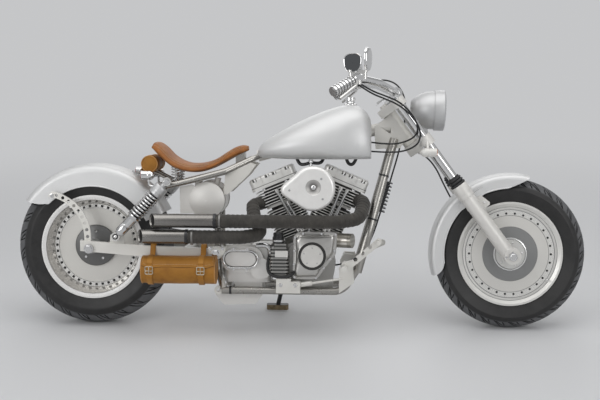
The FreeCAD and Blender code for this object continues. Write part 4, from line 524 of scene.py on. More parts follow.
LOOKS = {
    "silver": silver_paint("silver_paint", SILVER, 0.42),
    "lamp_paint": silver_paint("lamp_paint", (0.54, 0.542, 0.545), 0.65),
    "pale_paint": silver_paint("pale_paint", (0.70, 0.685, 0.655), 0.25),
    "frame": frame_paint("frame_paint", BEIGE),
    "tube": cast_alloy("polished_tube", (0.38, 0.368, 0.345), 600, 0.002, 0.28, 0.9),
    "filter": filter_look("oil_filter_finish"),
    "breather": breather_look("air_cleaner_metal"),
    "timing": cast_alloy("timing_cover_metal", (0.52, 0.51, 0.49), 500, 0.02, 0.30),
    "rear_frame": rear_frame_look("rear_frame_finish"),
    # Dark metal; the same material is painted shade in the timing cover's groove and in the ring behind the
    # wheels' openings.
    "dark_metal_and_shade": cast_alloy("dark_metal_and_painted_shade", (0.045, 0.044, 0.042), 1000, 0.10, 0.45, 0.3),
    "chrome": chrome("bright_chrome"),
    "soft_chrome": chrome("soft_chrome", grey(0.62), 0.14, 0.20),
    "cast": cast_alloy("cast_alloy", PALE_CAST, metallic=0.35),
    "satin": cast_alloy("satin_alloy", (0.68, 0.672, 0.655), 500, 0.01, 0.24, 0.85, 0.96),
    "case": cast_alloy("engine_case", (0.46, 0.45, 0.43), 1000, 0.14, 0.38, 0.7, 0.85),
    "dark_cast": cast_alloy("dark_casting", (0.22, 0.215, 0.205), 1000, 0.12, 0.36, 0.7, 0.85),
    "barrel": fin_look("cylinder_fins", 78, 80, 30, 140, 282, (0.70, 0.69, 0.66)),
    "head": fin_look("head_fins", 88, 86, 26, 296, 371, (0.86, 0.85, 0.82)),
    "steel": cast_alloy("bare_steel", grey(0.50), 1800, 0.06, 0.28, 1),
    "black": cast_alloy("gloss_black", (0.030, 0.030, 0.032), 1500, 0.10, 0.28, 0.2),
    "rubber": rubber("black_rubber"),
    "belt": rubber("belt_rubber", grey(0.022), 0.6, 500),
    "cable": rubber("cable_sheath", (0.016, 0.016, 0.017), 0.34, 300),
    "grip": grip_look("ribbed_grip"),
    "pipe": brushed_pipe("brushed_pipe"),
    "wrap": wrap_cloth("pipe_wrap"),
    "seat": leather("saddle_leather", TAN, TAN_DARK),
    "roll": leather("roll_leather", OCHRE, OCHRE_DARK, 520),
    "strap": leather("strap_leather", (0.40, 0.185, 0.032), (0.29, 0.125, 0.020), 700),
    # Painted shadow line under the roll's lid.
    "flap_shadow": leather("painted_flap_shadow", (0.10, 0.042, 0.008), (0.06, 0.025, 0.005), 900),
    "edge": leather("edge_leather", (0.46, 0.235, 0.075), (0.33, 0.155, 0.045), 900),
    "thread": rubber("waxed_thread", (0.50, 0.40, 0.26), 0.7, 1500),
    "brass": chrome("aged_brass", (0.55, 0.49, 0.38), 0.24, 0.36),
    "amber": lens_look("amber_lens", (0.50, 0.15, 0.03)),
    "red": lens_look("red_lens", (0.30, 0.008, 0.006)),
    "clear": lens_look("clear_lens", (0.62, 0.64, 0.66)),
    "mirror": mirror_look("mirror_glass"),
    "stand": foot_look("stand_finish"),
    "rear_tyre": tyre_rubber("rear_tyre_rubber", REAR_HUB, REAR_R, REAR_CROWN, 292),
    "front_tyre": tyre_rubber("front_tyre_rubber", FRONT_HUB, FRONT_R, FRONT_CROWN, 286),
    "rear_wheel": turned_wheel("rear_wheel_metal", REAR_HUB, REAR_BANDS, 40, 168, 5, True),
    "front_wheel": turned_wheel("front_wheel_metal", FRONT_HUB, FRONT_BANDS, 30, 169.5, 4.6, False),
}


def look(name):
    return LOOKS[name].material


# Finish of each carried-over node
FINISH = {
    "silver": ("front_fender", "rear_fender", "fuel_tank"),
    "satin": ("rear_pulley", "primary_cover", "hand_controls"),
    "lamp_paint": ("headlight",),
    "timing": ("cam_cover",),
    "pale_paint": ("oil_tank", "front_signals", "fork_legs", "fork_trees"),
    "tube": ("frame_downtubes", "frame_lower_rails"),
    "rear_frame": ("frame_rear",),
    "frame": ("frame_backbone", "tie_down_eyes", "swingarm", "fender_struts", "foot_controls", "brake_master"),
    "chrome": ("fork_tubes", "handlebar", "mirrors", "rear_lights", "fuel_cap", "pushrod_tubes"),
    "soft_chrome": ("front_rotor", "shocks"),
    "cast": ("oil_pan", "transmission", "front_caliper", "rear_caliper"),
    "case": ("crankcase", "intake"),
    "barrel": ("cylinders",),
    "head": ("cylinder_heads",),
    "steel": ("front_axle", "rear_axle", "seat_springs"),
    "black": ("regulator",),
    "filter": ("oil_filter",),
    "breather": ("air_cleaner",),
    "rubber": ("dust_boots",),
    "belt": ("drive_belt",),
    "cable": ("brake_hose", "throttle_cable", "return_cable", "clutch_cable"),
    "grip": ("grips",),
    "pipe": ("exhaust_pipes",),
    "seat": ("seat",),
    "roll": ("leather_rolls",),
    "stand": ("side_stand",),
    "rear_tyre": ("rear_tyre",),
    "front_tyre": ("front_tyre",),
    "rear_wheel": ("rear_rim",),
    "front_wheel": ("front_rim",),
}


def finish_nodes():
    """Gives every CAD node its material."""
    for name, nodes in FINISH.items():
        for node in nodes:
            mesh = NODES[node].data
            mesh.materials.clear()
            mesh.materials.append(look(name))


# Shapes: each returns points in millimetres and faces

def ring_mesh(rings, closed=False, capped=False):
    """Joins equal rings of points with quads."""
    count = len(rings[0])
    faces = []
    for i in range(len(rings) if closed else len(rings) - 1):
        a = i * count
        b = (i + 1) % len(rings) * count
        for j in range(count):
            k = (j + 1) % count
            faces.append((a + j, a + k, b + k, b + j))
    if capped:
        faces.append(tuple(reversed(range(count))))
        faces.append(tuple(range((len(rings) - 1) * count, len(rings) * count)))
    return np.vstack(rings), faces


def lathe(profile, segments=32, closed=False):
    """Turns (radius, height) points about Z."""
    angles = full_turn(segments)
    rings = [np.column_stack((r * np.cos(angles), r * np.sin(angles), np.full(segments, h)))
             for r, h in np.asarray(profile, float)]
    return ring_mesh(rings, closed)


def band(inner, outer, half, slope=0):
    """Profile of a band round an axis, whose edges slope a little."""
    return (inner, -half), (outer, slope - half), (outer, half - slope), (inner, half)


def hoop(axis, place, centre, radius, angles):
    """Points round an axis along X (0) or Y (1), at a place along it."""
    columns = [0, 0, centre[2] + radius * np.cos(angles)]
    columns[axis] = np.broadcast_to(place, len(angles))
    columns[1 - axis] = centre[1 - axis] + radius * np.sin(angles)
    return np.column_stack(columns)


def frame_of(direction, hint=UP):
    """Two directions square to a third."""
    along = unit(direction)
    if abs(np.dot(along, hint)) > 0.95:
        hint = AHEAD
    side = unit(np.cross(hint, along))
    return side, np.cross(along, side), along


def stood(shape, origin, direction):
    """Moves a shape so that its Z runs along a direction from an origin."""
    points, faces = shape
    return points @ np.array(frame_of(direction)) + np.asarray(origin, float), faces


def carried(path, tangents):
    """Points of a path with two directions square to it, carried along without twist."""
    side = frame_of(tangents[0])[0]
    for point, tangent in zip(path, tangents):
        along = unit(tangent)
        side = unit(side - along * np.dot(side, along))
        yield point, side, np.cross(along, side)


def sweep(path, radius, segments=12, closed=False):
    """Round tube along a path; radius is one number or one per point."""
    path = np.asarray(path, float)
    tangents = np.gradient(path, axis=0)
    if closed:
        tangents = np.roll(path, -1, axis=0) - np.roll(path, 1, axis=0)
    angles = full_turn(segments)
    rings = [point + r * (np.outer(np.cos(angles), side) + np.outer(np.sin(angles), up))
             for (point, side, up), r in zip(carried(path, tangents), np.broadcast_to(radius, len(path)))]
    return ring_mesh(rings, closed, not closed)


def slab(outline, low, high):
    """Outline points in the plane of X and Y, thick along Z."""
    outline = np.asarray(outline, float)
    rings = [np.column_stack((outline, np.full(len(outline), h))) for h in (low, high)]
    return ring_mesh(rings, capped=True)


def plate(outline, near, far):
    """Outline points in the plane of X and Z, thick along Y."""
    points, faces = slab(outline, near, far)
    return points[:, (0, 2, 1)], faces


def hex_head(across, height):
    """Chamfered hexagon head on a washer."""
    r = across / math.sqrt(3)
    points, faces = lathe([(0, 0), (r, 0), (r, height * 0.8), (r * 0.86, height), (0, height)], 6)
    ring, more = lathe([(r * 1.25, -0.4), (r * 1.25, 0.9), (r * 0.9, 1.2)], 20)
    return np.vstack((points, ring)), faces + [tuple(i + len(points) for i in face) for face in more]


def socket_head(diameter, height):
    """Cylinder head with a hexagon socket."""
    r = diameter / 2
    return lathe([(r, -0.3), (r, height * 0.85), (r * 0.9, height), (r * 0.55, height), (r * 0.52, height * 0.4),
                  (0, height * 0.4)], 18)


def dome_head(diameter, height):
    """Low domed head."""
    r = diameter / 2
    steps = [(r * math.cos(a), height * math.sin(a)) for a in np.linspace(0, math.pi / 2, 6)]
    return lathe([(r, -0.3)] + steps, 20)


HEADS = {"hex": hex_head, "socket": socket_head, "dome": dome_head}


class Piece:
    """Collects shapes, each with its material, into one named mesh."""

    def __init__(self, name):
        self.name = name
        self.points = []
        self.faces = []
        self.slots = []
        self.smooth = []
        self.names = []
        self.count = 0

    def add(self, shape, material, smooth=True):
        points, faces = shape
        if material not in self.names:
            self.names.append(material)
        self.points.append(np.asarray(points, float))
        self.faces.extend(tuple(i + self.count for i in face) for face in faces)
        self.slots.extend([self.names.index(material)] * len(faces))
        self.smooth.extend([smooth] * len(faces))
        self.count += len(points)
        return self

    def turned(self, profile, segments, spot, way, material, closed=False):
        """Adds a turned shape that stands on a spot."""
        return self.add(stood(lathe(profile, segments, closed), spot, way), material)

    def bolt(self, kind, size, height, spot, way, material="chrome"):
        """Adds the head of a fastener."""
        return self.add(stood(HEADS[kind](size, height), spot, way), material, kind != "hex")

    def make(self, body, replaced=(), slot=None, bevel=0.0, subdivide=0, weld=True):
        """Makes the mesh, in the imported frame, riding on a body."""
        mesh = bpy.data.meshes.new(self.name)
        mesh.from_pydata(to_row(np.vstack(self.points)).tolist(), [], self.faces)
        mesh.polygons.foreach_set("material_index", self.slots)
        mesh.polygons.foreach_set("use_smooth", self.smooth)
        for name in self.names:
            mesh.materials.append(look(name))
        work = bmesh.new()
        work.from_mesh(mesh)
        if weld:
            bmesh.ops.remove_doubles(work, verts=work.verts, dist=2e-6)
        bmesh.ops.recalc_face_normals(work, faces=work.faces)
        work.to_mesh(mesh)
        work.free()
        mesh.set_sharp_from_angle(angle=math.radians(38))
        obj = placed(self.name, mesh)
        if bevel:
            modifier = obj.modifiers.new("edges", "BEVEL")
            modifier.width = bevel / 1000
            modifier.segments = 2
            modifier.limit_method = "ANGLE"
            modifier.angle_limit = math.radians(40)
        if subdivide:
            modifier = obj.modifiers.new("rounding", "SUBSURF")
            modifier.levels = subdivide
            modifier.render_levels = subdivide
        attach(obj, body)
        if replaced:
            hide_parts(*replaced)
        return obj


def smoothstep(value, low, high):
    t = np.clip((value - low) / (high - low), 0, 1)
    return t * t * (3 - 2 * t)


def straight(start, end, step, endpoint=False):
    """Points along a straight run."""
    count = max(2, int(np.linalg.norm(end - start) / step))
    return [start + (end - start) * t for t in np.linspace(0, 1, count, endpoint=endpoint)]


def bent_path(points, bend, step):
    """Points along straight runs joined by arcs of one radius."""
    points = [np.asarray(p, float) for p in points]
    path = []
    start = points[0]
    for before, corner, after in zip(points, points[1:], points[2:]):
        a = unit(before - corner)
        b = unit(after - corner)
        half = math.acos(np.clip(np.dot(a, b), -1, 1)) / 2
        back = bend / math.tan(half)
        centre = corner + unit(a + b) * (bend / math.sin(half))
        first = corner + a * back
        last = corner + b * back
        path.extend(straight(start, first, step))
        turn = math.pi - 2 * half
        for t in np.linspace(0, 1, max(3, int(bend * turn / step)), endpoint=False):
            spoke = (first - centre) * math.sin((1 - t) * turn) + (last - centre) * math.sin(t * turn)
            path.append(centre + spoke / math.sin(turn))
        start = last
    path.extend(straight(start, points[-1], step, endpoint=True))
    return np.array(path)


def resample(path, count):
    """Evenly spaced points along a closed path, smoothed a little."""
    run = run_along(path)
    spots = np.linspace(0, run[-1], count, endpoint=False)
    even = np.column_stack([np.interp(spots, run, path[:, axis]) for axis in range(path.shape[1])])
    for _ in range(2):
        even = (np.roll(even, 1, axis=0) + 2 * even + np.roll(even, -1, axis=0)) / 4
    return even


def superellipse(half_width, half_height, power, count=72):
    """Outline between an ellipse and a rectangle."""
    angles = full_turn(count)
    c, s = np.cos(angles), np.sin(angles)
    return np.column_stack((half_width * np.sign(c) * np.abs(c) ** (2 / power),
                            half_height * np.sign(s) * np.abs(s) ** (2 / power)))


def curve_mesh(points, resolution, radius=0):
    """Mesh of a smooth curve drawn to its control points, as a line or as a capped tube."""
    curve = bpy.data.curves.new("line", "CURVE")
    curve.dimensions = "3D"
    spline = curve.splines.new("NURBS")
    spline.points.add(len(points) - 1)
    for point, spot in zip(spline.points, points):
        point.co = (*spot, 1)
    spline.order_u = 3
    spline.use_endpoint_u = True
    curve.resolution_u = resolution
    curve.bevel_depth = radius
    curve.bevel_resolution = 3
    curve.use_fill_caps = True
    holder = bpy.data.objects.new("line", curve)
    mesh = bpy.data.meshes.new_from_object(holder)
    bpy.data.objects.remove(holder)
    bpy.data.curves.remove(curve)
    return mesh


def smooth_line(points):
    """A smooth curve drawn to a hose's control points."""
    mesh = curve_mesh(points, 8)
    line = np.array([vertex.co[:] for vertex in mesh.vertices])
    bpy.data.meshes.remove(mesh)
    return line


# Tyres

# Each groove of the tread: where it starts and ends across the tyre, how far it sweeps along it, its share of
# a pitch and its half width
GROOVES = ((7, 90, 62, 0, 4.2), (30, 94, 40, 0.5, 3.6), (52, 88, 14, 0.27, 2.8))
GROOVE_DEPTH = 4.6
TYRE_SEGMENTS = 900


def groove_depth(arc, along, pitch):
    """Depth of the tread's grooves at one place across it."""
    depth = np.zeros_like(along)
    for start, end, length, offset, width in GROOVES:
        share = (abs(arc) - start) / (end - start)
        if not -0.02 < share < 1.02:
            continue
        centre = length * share ** 1.4 if share > 0 else 0
        shift = pitch * (offset + (0.5 if arc > 0 else 0))
        off = (along - centre - shift + pitch / 2) % pitch - pitch / 2
        slope = math.hypot(1, length / (end - start))
        taper = min(1, max(0, min(share, 1 - share) * 7 + 0.15))
        edge = smoothstep(-np.abs(off) / slope, -width, -width * 0.35)
        depth = np.maximum(depth, GROOVE_DEPTH * taper * edge)
    return depth


def tyre(wheel, centre, radius, half, crown, rim_width, pitches):
    """Tyre with swept tread grooves, on the profile of its CAD solid."""
    bead = rim_width / 2 - 6.3
    shoulder = radius - crown + math.sqrt(crown ** 2 - half ** 2)
    reach = math.asin(half / crown)
    wall = []
    for t in np.linspace(0, 1, 9):
        ridge = 1.2 * math.exp(-((t - 0.18) / 0.05) ** 2)
        across = bead + (half - bead) * t + 0.6 * math.sin(t * math.pi) + ridge
        wall.append((LIP_R + 2 + (shoulder - LIP_R - 2) * t, across, 0))
    inside = [(BEAD_R + 0.3, bead, 0), (BEAD_R + 0.3, bead - 12, 0), (LIP_R + 6, bead - 12, 0),
              (shoulder - 6, half - 12, 0)]
    rows = [(r, -across, 0) for r, across, _ in wall]
    for angle in np.linspace(-reach, reach, 63)[1:-1]:
        rows.append((radius - crown + crown * math.cos(angle), crown * math.sin(angle), crown * angle))
    rows += wall[::-1] + inside + [(radius - 18, 0, 0)] + [(r, -across, 0) for r, across, _ in inside[::-1]]
    angles = full_turn(TYRE_SEGMENTS)
    pitch = math.tau * radius / pitches
    rings = []
    for r, across, arc in rows:
        depth = groove_depth(arc * REAR_CROWN / crown, angles * radius, pitch) if arc else 0 * angles
        lift = r - depth * math.cos(arc / crown)
        rings.append(hoop(1, across - depth * math.sin(arc / crown), centre, lift, angles))
    piece = Piece(wheel + "_tyre_tread").add(ring_mesh(rings, True), wheel + "_tyre")
    piece.make(wheel + "_wheel", (wheel + "_tyre",), "tyre", weld=False)


def tyres():
    tyre("rear", REAR_HUB, REAR_R, 90, REAR_CROWN, 168, 24)
    tyre("front", FRONT_HUB, FRONT_R, 65, FRONT_CROWN, 104, 30)


# Leather

SEAT_TOP = ((247, 758), (254, 770), (268, 772), (296, 756), (330, 721), (366, 698), (400, 686), (440, 684),
            (484, 691), (520, 705), (560, 731), (600, 754), (630, 761), (652, 757))
SEAT_LOW = ((247, 755), (268, 729), (298, 701), (330, 676), (366, 660), (418, 650), (460, 652), (500, 664),
            (543, 685), (580, 706), (610, 722), (636, 734), (652, 743))
SEAT_SQUARE = 0.62
ROLL_CENTRE = np.array((0, -197, 251.6))
ROLL_ENDS = (231, 535)
STRAPS_X = (268, 478)
SMALL_ROLL = np.array((243.0, 0, 682))


def curve_at(points, x):
    """Smooth height of a profile at an X."""
    xs, heights = np.asarray(points, float).T
    slopes = np.gradient(heights, xs)
    i = int(np.clip(np.searchsorted(xs, x) - 1, 0, len(xs) - 2))
    h = xs[i + 1] - xs[i]
    t = (x - xs[i]) / h
    return ((2 * t ** 3 - 3 * t ** 2 + 1) * heights[i] + (t ** 3 - 2 * t ** 2 + t) * h * slopes[i]
            + (3 * t ** 2 - 2 * t ** 3) * heights[i + 1] + (t ** 3 - t ** 2) * h * slopes[i + 1])


def seat_half(x):
    """Half width of the saddle at an X, in the outline of its CAD solid."""
    if x < 330:
        return 28 + math.sqrt(max(0, 98 ** 2 - (x - 330) ** 2))
    wide = 126 - 66 * float(smoothstep(x, 400, 640))
    if x > 620:
        wide *= math.sqrt(max(0.05, 1 - ((x - 620) / 36) ** 2))
    return wide


def seat_point(x, c, s):
    """A point of the saddle's skin: c and s say where it lies across and up its section."""
    top, low, half = curve_at(SEAT_TOP, x), curve_at(SEAT_LOW, x), seat_half(x)
    y = half * math.copysign(abs(c) ** SEAT_SQUARE, c)
    share = abs(y) / half
    rise = (top - low) / 2 * math.copysign(abs(s) ** 0.75, s) * (1 - 0.30 * share ** 4) - 5.4 * share ** 3
    if s > 0:
        channel = 2.4 * math.exp(-((share - 0.80) / 0.035) ** 2)
        rise += 3 * (1 - share ** 2) - channel
    return x, y, (top + low) / 2 + rise - 3


def saddle():
    """Thin padded saddle with a rolled edge, a sewn channel and stitches."""
    stations = np.concatenate(([248.5, 251, 256], np.linspace(264, 628, 48), [637, 645, 651]))
    rings = [np.array([seat_point(x, math.cos(a), math.sin(a)) for a in full_turn(56)]) for x in stations]
    piece = Piece("saddle").add(ring_mesh(rings, capped=True), "seat")
    pad = piece.make("chassis", ("seat",), "leather", subdivide=1)
    stitches = Piece("saddle_stitches")
    for side in SIDES:
        for share in (0.745, 0.855):
            c = share ** (1 / SEAT_SQUARE)
            line = [seat_point(x, side * c, math.sqrt(1 - c * c)) for x in np.arange(282, 632, 3)]
            sew(stitches, np.array(line) + (0, 0, 0.5), 0.7, 6)
    stitches.make("chassis", slot="leather")


def sew(piece, line, radius, pitch):
    """Short stitches along a line of points."""
    run = run_along(line)
    for start in np.arange(0, run[-1] - pitch, pitch):
        spots = [[np.interp(start + t * pitch * 0.68, run, line[:, axis]) for axis in range(3)]
                 for t in (0, 0.5, 1)]
        piece.add(sweep(spots, np.array((0.6, 1, 0.6)) * radius, 6), "thread")


def leather_roll(piece, axis, centre, ends, stations, segments, radius, cap, piping):
    """Roll of leather along an axis: body, end caps and piping."""
    angles = full_turn(segments)
    low, high = ends
    rings = [hoop(axis, at, centre, radius(min(at - low, high - at), at, angles), angles)
             for at in np.linspace(low, high, stations)]
    piece.add(ring_mesh(rings), "roll")
    reach, thick, inset = piping
    for at, way in ((low, -1), (high, 1)):
        spot = centre.copy()
        spot[axis] = at
        piece.turned(cap, segments, spot, np.eye(3)[axis] * way, "roll")
        piece.add(sweep(hoop(axis, at - way * inset, centre, reach, angles), thick, 8, True), "edge")


def roll_bag():
    """Tool roll: body, end caps with piping, lid flap, straps and buckles."""
    def radius(ends, x, angles):
        wave = 0.5 * np.sin(angles * 3 + x * 0.031) + 0.4 * np.sin(angles * 5 - x * 0.052)
        return 54.6 + 1.6 * (1 - math.exp(-ends / 14)) + wave

    piece = Piece("tool_roll")
    leather_roll(piece, 0, ROLL_CENTRE, ROLL_ENDS, 54, 72, radius,
                 [(0, 0.6), (20, 0.5), (44, -0.2), (50, -1.4), (54.5, -1.6)], (54.8, 2.1, 1.2))
    flap(piece)
    piece.make("chassis", ("leather_rolls",), "leather")
    straps = Piece("roll_straps")
    for x in STRAPS_X:
        strap(straps, x)
    straps.make("chassis", slot="leather", bevel=0.5)


def flap(piece):
    """Lid that wraps from behind over the top and down the front, its lower edge gently scalloped."""
    xs = np.linspace(ROLL_ENDS[0] + 4, ROLL_ENDS[1] - 4, 75)
    low = 66 + 6 * smoothstep(np.minimum(xs - xs[0], xs[-1] - xs), 0, 26)
    for x in STRAPS_X:
        low = low + 5 * np.exp(-((xs - x) / 24) ** 2)
    outer = []
    inner = []
    for share in np.linspace(0, 1, 60):
        angle = np.radians(share * (low + 150) - 150)
        r = 58.6 + 0.4 * np.sin(angle * 4) + 0.35 * np.sin(xs * 0.045 + angle * 2)
        for rows, reach in ((outer, r), (inner, r - 2.6)):
            rows.append(hoop(0, xs, ROLL_CENTRE, reach, -angle))
    piece.add(ring_mesh([np.vstack((o, i[::-1])) for o, i in zip(outer, inner)], capped=True), "roll")
    # A dark line along the lid's lower edge is a painted shadow under it.
    piece.add(sweep(inner[-1], 1.5, 8), "flap_shadow")
    sew(piece, outer[-4][2:-2] + (0, -0.4, 0), 0.6, 6.5)
    for index in (1, -2):
        sew(piece, np.array([row[index] for row in outer[8:-4]]) + (0, -0.3, 0), 0.6, 6.5)


def strap(piece, x):
    """Band round the roll and over the swingarm beam, with its buckle in front."""
    half = 11
    _, y, z = ROLL_CENTRE
    path = [(y - 60.2 * math.sin(a), z + 60.2 * math.cos(a)) for a in np.radians(np.linspace(-28, 188, 40))]
    path += [(-150, 246), (-128, 262), (-123, 290), (-123.5, 330), (-126, 349), (-134, 352.5), (-146, 352),
             (-155, 346), (-158, 332)]
    path = resample(np.array(path + path[:1]), 90)
    slopes = np.gradient(path, axis=0)
    normals = np.column_stack((slopes[:, 1], -slopes[:, 0]))
    normals /= np.linalg.norm(normals, axis=1)[:, None]
    outward = np.sign(np.sum((path - path.mean(axis=0)) * normals, axis=1))
    normals *= np.where(np.median(outward) < 0, -1, 1)
    section = ((-half, -1.1), (-half, 0.9), (1.4 - half, 1.3), (half - 1.4, 1.3), (half, 0.9), (half, -1.1))
    rings = [np.array([(x + across, *(point + normal * out)) for across, out in section])
             for point, normal in zip(path, normals)]
    piece.add(ring_mesh(rings, True), "strap")
    buckle(piece, np.array((x, y - 62.6, z + 4)))
    for rise in (-26, 30):
        out = math.sqrt(62.4 ** 2 - rise ** 2)
        normal = unit((0, -out, rise))
        keeper = np.array([(x + dx, y - out, z + rise + dz)
                           for dx, dz in ((-12.5, -3.5), (12.5, -3.5), (12.5, 3.5), (-12.5, 3.5))])
        piece.add(ring_mesh([keeper - normal, keeper + normal * 2], capped=True), "roll")


def buckle(piece, centre):
    """Square frame with a centre prong, standing on a strap."""
    w, h, corner = 15, 15, 4
    ring = []
    for cx, cz, start in ((w - corner, h - corner, 0), (corner - w, h - corner, 90),
                          (corner - w, corner - h, 180), (w - corner, corner - h, 270)):
        for a in np.radians(start + np.array((0, 30, 60, 90))):
            ring.append(centre + (cx + corner * math.cos(a), -1.6, cz + corner * math.sin(a)))
    piece.add(sweep(ring, 2.2, 8, True), "brass")
    piece.add(sweep([centre + (0, -2.6, -h), centre + (0, -3.6, 0), centre + (0, -2.8, h + 2)], 1.6, 8), "brass")
    piece.add(sweep([centre + (-w, -1.6, -2), centre + (w, -1.6, -2)], 1.9, 8), "brass")


def small_pouch():
    """Small leather roll behind the saddle, with piped ends and two straps."""
    def radius(ends, y, angles):
        return 33 + 1.2 * (1 - math.exp(-ends / 10)) + 0.3 * np.sin(angles * 4 + y * 0.05)

    piece = Piece("small_roll")
    leather_roll(piece, 1, SMALL_ROLL, (-98, 98), 36, 56, radius,
                 [(0, 1.4), (14, 1), (28, -0.3), (33, -1)], (33.2, 2, 0))
    for y in (-52, 52):
        profile = [(33.6, -9), (35.8, -9), (36.2, -7.5), (36.2, 7.5), (35.8, 9), (33.6, 9)]
        spot = SMALL_ROLL + (0, y, 0)
        piece.turned(profile, 56, spot, LEFT, "strap", True)
        corners = [spot + (-36.8, dy, dz) for dz, dy in ((-12, -11), (-12, 11), (12, 11), (12, -11))]
        piece.add(sweep(resample(np.array(corners + corners[:1]), 28), 1.8, 8, True), "brass")
    piece.make("chassis", slot="leather")


# Suspension, pipes and cables

# Each pipe: its corners, bend radius, starts of the pipe and of its wrap, front end and tail of its sleeve, and
# where the wrap's band sits as a share of its length
PIPES = (
    (((1140, -100, 530), (1118, -205, 468), (1030, PIPE_Y, UPPER_PIPE_Z)), 55, (1096, -48, 540), (1102, -55, 538),
     534, 277, 0.985),
    (((676, -104, 512), (692, -178, 450), (740, -188, 402), (640, PIPE_Y, LOWER_PIPE_Z)), 30, (722, -50, 524),
     (716, -57, 522), 419, 228, 0.97))
WRAP_PITCH = 19
WRAP_STEP = 2.2

THROTTLE = ((1104, -296, 1020), (1160, -262, 986), (1212, -232, 968), (1272, -196, 946), (1324, -176, 902),
            (1356, -166, 846), (1346, -140, 802), (1296, -104, 776), (1236, -72, 768), (1150, -44, 778))
RETURN = ((1104, -296, 1012), (1158, -262, 976), (1212, -234, 956), (1276, -204, 930), (1334, -184, 882),
          (1366, -172, 826), (1360, -150, 774), (1312, -116, 744), (1246, -86, 734), (1150, -62, 740))
CLUTCH = ((1108, 296, 1020), (1158, 244, 1036), (1220, 180, 1046), (1276, 122, 1026), (1308, 84, 972),
          (1312, 66, 906), (1306, 58, 836), (1292, 56, 766), (1276, 66, 700), (1256, 78, 630), (1234, 82, 550),
          (1208, 82, 470), (1186, 80, 396), (1156, 78, 326), (1110, 72, 276), (1050, 64, 250), (1008, 58, 246))
HOSE = ((-44, 560), (-30, 520), (-27, 462), (-40, 395), (-51, 325), (-58, 255), (-64, 190), (-66, 128))
HOSE_Y = 84
CABLE_R = 0.0035


def fork_point(ahead, y, up):
    """A point given ahead of the fork tubes and up along them."""
    out = np.array((math.cos(RAKE), 0, math.sin(RAKE)))
    return np.array(FRONT_HUB) + out * (ahead - 7.6) + np.array(FORK_WAY) * up + (0, y, 0)


def helix(start, end, radius, turns):
    """Path of a coil spring."""
    side, up, along = frame_of(end - start)
    length = np.linalg.norm(end - start)
    count = int(turns * 26)
    path = []
    for t in np.arange(count + 1) / count:
        a = math.tau * turns * t
        path.append(start + along * (length * t) + radius * (side * math.cos(a) + up * math.sin(a)))
    return path


def shock_absorbers():
    """Coil-over shocks: eyes, polished body, coil, damper and cap."""
    foot = np.array((115, 0, 384))
    top = np.array((328, 0, 612))
    length = np.linalg.norm(top - foot)
    along = unit(top - foot)
    body = [(12, 10), (16, 15), (20, 20), (22.3, 26), (22.3, 60), (21.2, 62), (21.2, 66), (22.3, 68), (22.3, 100),
            (25, 104), (31, 111), (31.4, 114), (31.4, 118), (28, 120), (19, 121)]
    cap = [(r, length - down) for r, down in (
        (9, 76), (26, 75), (30, 72), (30, 58), (31.2, 57), (31.2, 53), (30, 52), (30, 30), (28.5, 28), (12, 27),
        (12, 17))]
    eye = [(7.2, -13), (17.5, -13), (18, -11), (18, 11), (17.5, 13), (7.2, 13)]
    piece = Piece("shock_absorbers")
    for side in SIDES:
        base, crown = (spot + (0, side * 168, 0) for spot in (foot, top))
        piece.turned(body, 44, base, along, "soft_chrome")
        piece.turned([(20, 119), (20, length - 74)], 28, base, along, "black")
        piece.turned(cap, 44, base, along, "lamp_paint")
        piece.add(sweep(helix(base + along * 122, base + along * (length - 78), 26.8, 8), 4.4), "soft_chrome")
        for spot in (base, crown):
            piece.turned(eye, 36, spot, LEFT, "satin", True)
            piece.turned(band(7.1, 12.5, 13.6), 30, spot, LEFT, "rubber", True)
    piece.make("chassis", ("shocks",), "chrome")
    bolts = Piece("shock_bolts")
    for side in SIDES:
        bolts.bolt("hex", 17, 8, top + (0, side * 181, 0), (0, side, 0))
        bolts.bolt("dome", 15, 5, foot + (0, side * 181, 0), (0, side, 0))
    bolts.make("chassis", slot="chrome")


def springs_under_seat():
    """Coil springs between the saddle and the frame."""
    piece = Piece("saddle_springs")
    for y in (-84, 84):
        piece.add(sweep(helix(np.array((350, y, 607)), np.array((350, y, 668)), 14.5, 5.5), 2.4, 10), "chrome")
        for z in (605, 668):
            piece.turned([(0, -1), (16.8, -1), (16.8, 2.5), (12, 3), (0, 3)], 28, (350, y, z), UP, "black")
        piece.add(sweep([(350, y, 600), (350, y, 672)], 4), "steel")
    piece.make("chassis", ("seat_springs",), "black")


def wound(path, radius):
    """Tube whose surface steps like a band wound round it."""
    angles = full_turn(48)
    rings = []
    for (point, side, up), run in zip(carried(path, np.gradient(path, axis=0)), run_along(path)):
        phase = ((run + WRAP_PITCH * angles / math.tau) / WRAP_PITCH) % 1
        lift = WRAP_STEP * phase + 0.25 * np.sin(angles * 5 + run * 0.11)
        lift = np.where(phase > 0.86, WRAP_STEP * (1 - phase) / 0.14, lift)
        r = radius + np.maximum(lift, 0)
        rings.append(point + np.outer(r * np.cos(angles), side) + np.outer(r * np.sin(angles), up))
    return ring_mesh(rings, capped=True)


def pipe_wrap():
    """Heat wrap wound round both pipes in overlapping turns, each with a band at its end."""
    piece = Piece("pipe_wrap")
    bands = Piece("wrap_bands")
    for corners, bend, _, start, front, _, share in PIPES:
        path = bent_path([start, *corners, (front + 7, *corners[-1][1:])], bend, 2.6)
        piece.add(wound(path, PIPE_R + 0.5), "wrap")
        i = int(share * (len(path) - 1))
        bands.turned(band(28, 29.6, 4), 48, path[i], unit(path[i + 1] - path[i - 1]), "dark_cast", True)
        lock = slab([(-6, -7), (6, -7), (6, 7), (-6, 7)], 29.4, 32)
        bands.add(stood(lock, path[i], (0, -0.5, -0.86)), "dark_cast", False)
    piece.make("chassis", slot="chrome")
    bands.make("chassis", slot="chrome", bevel=0.6)


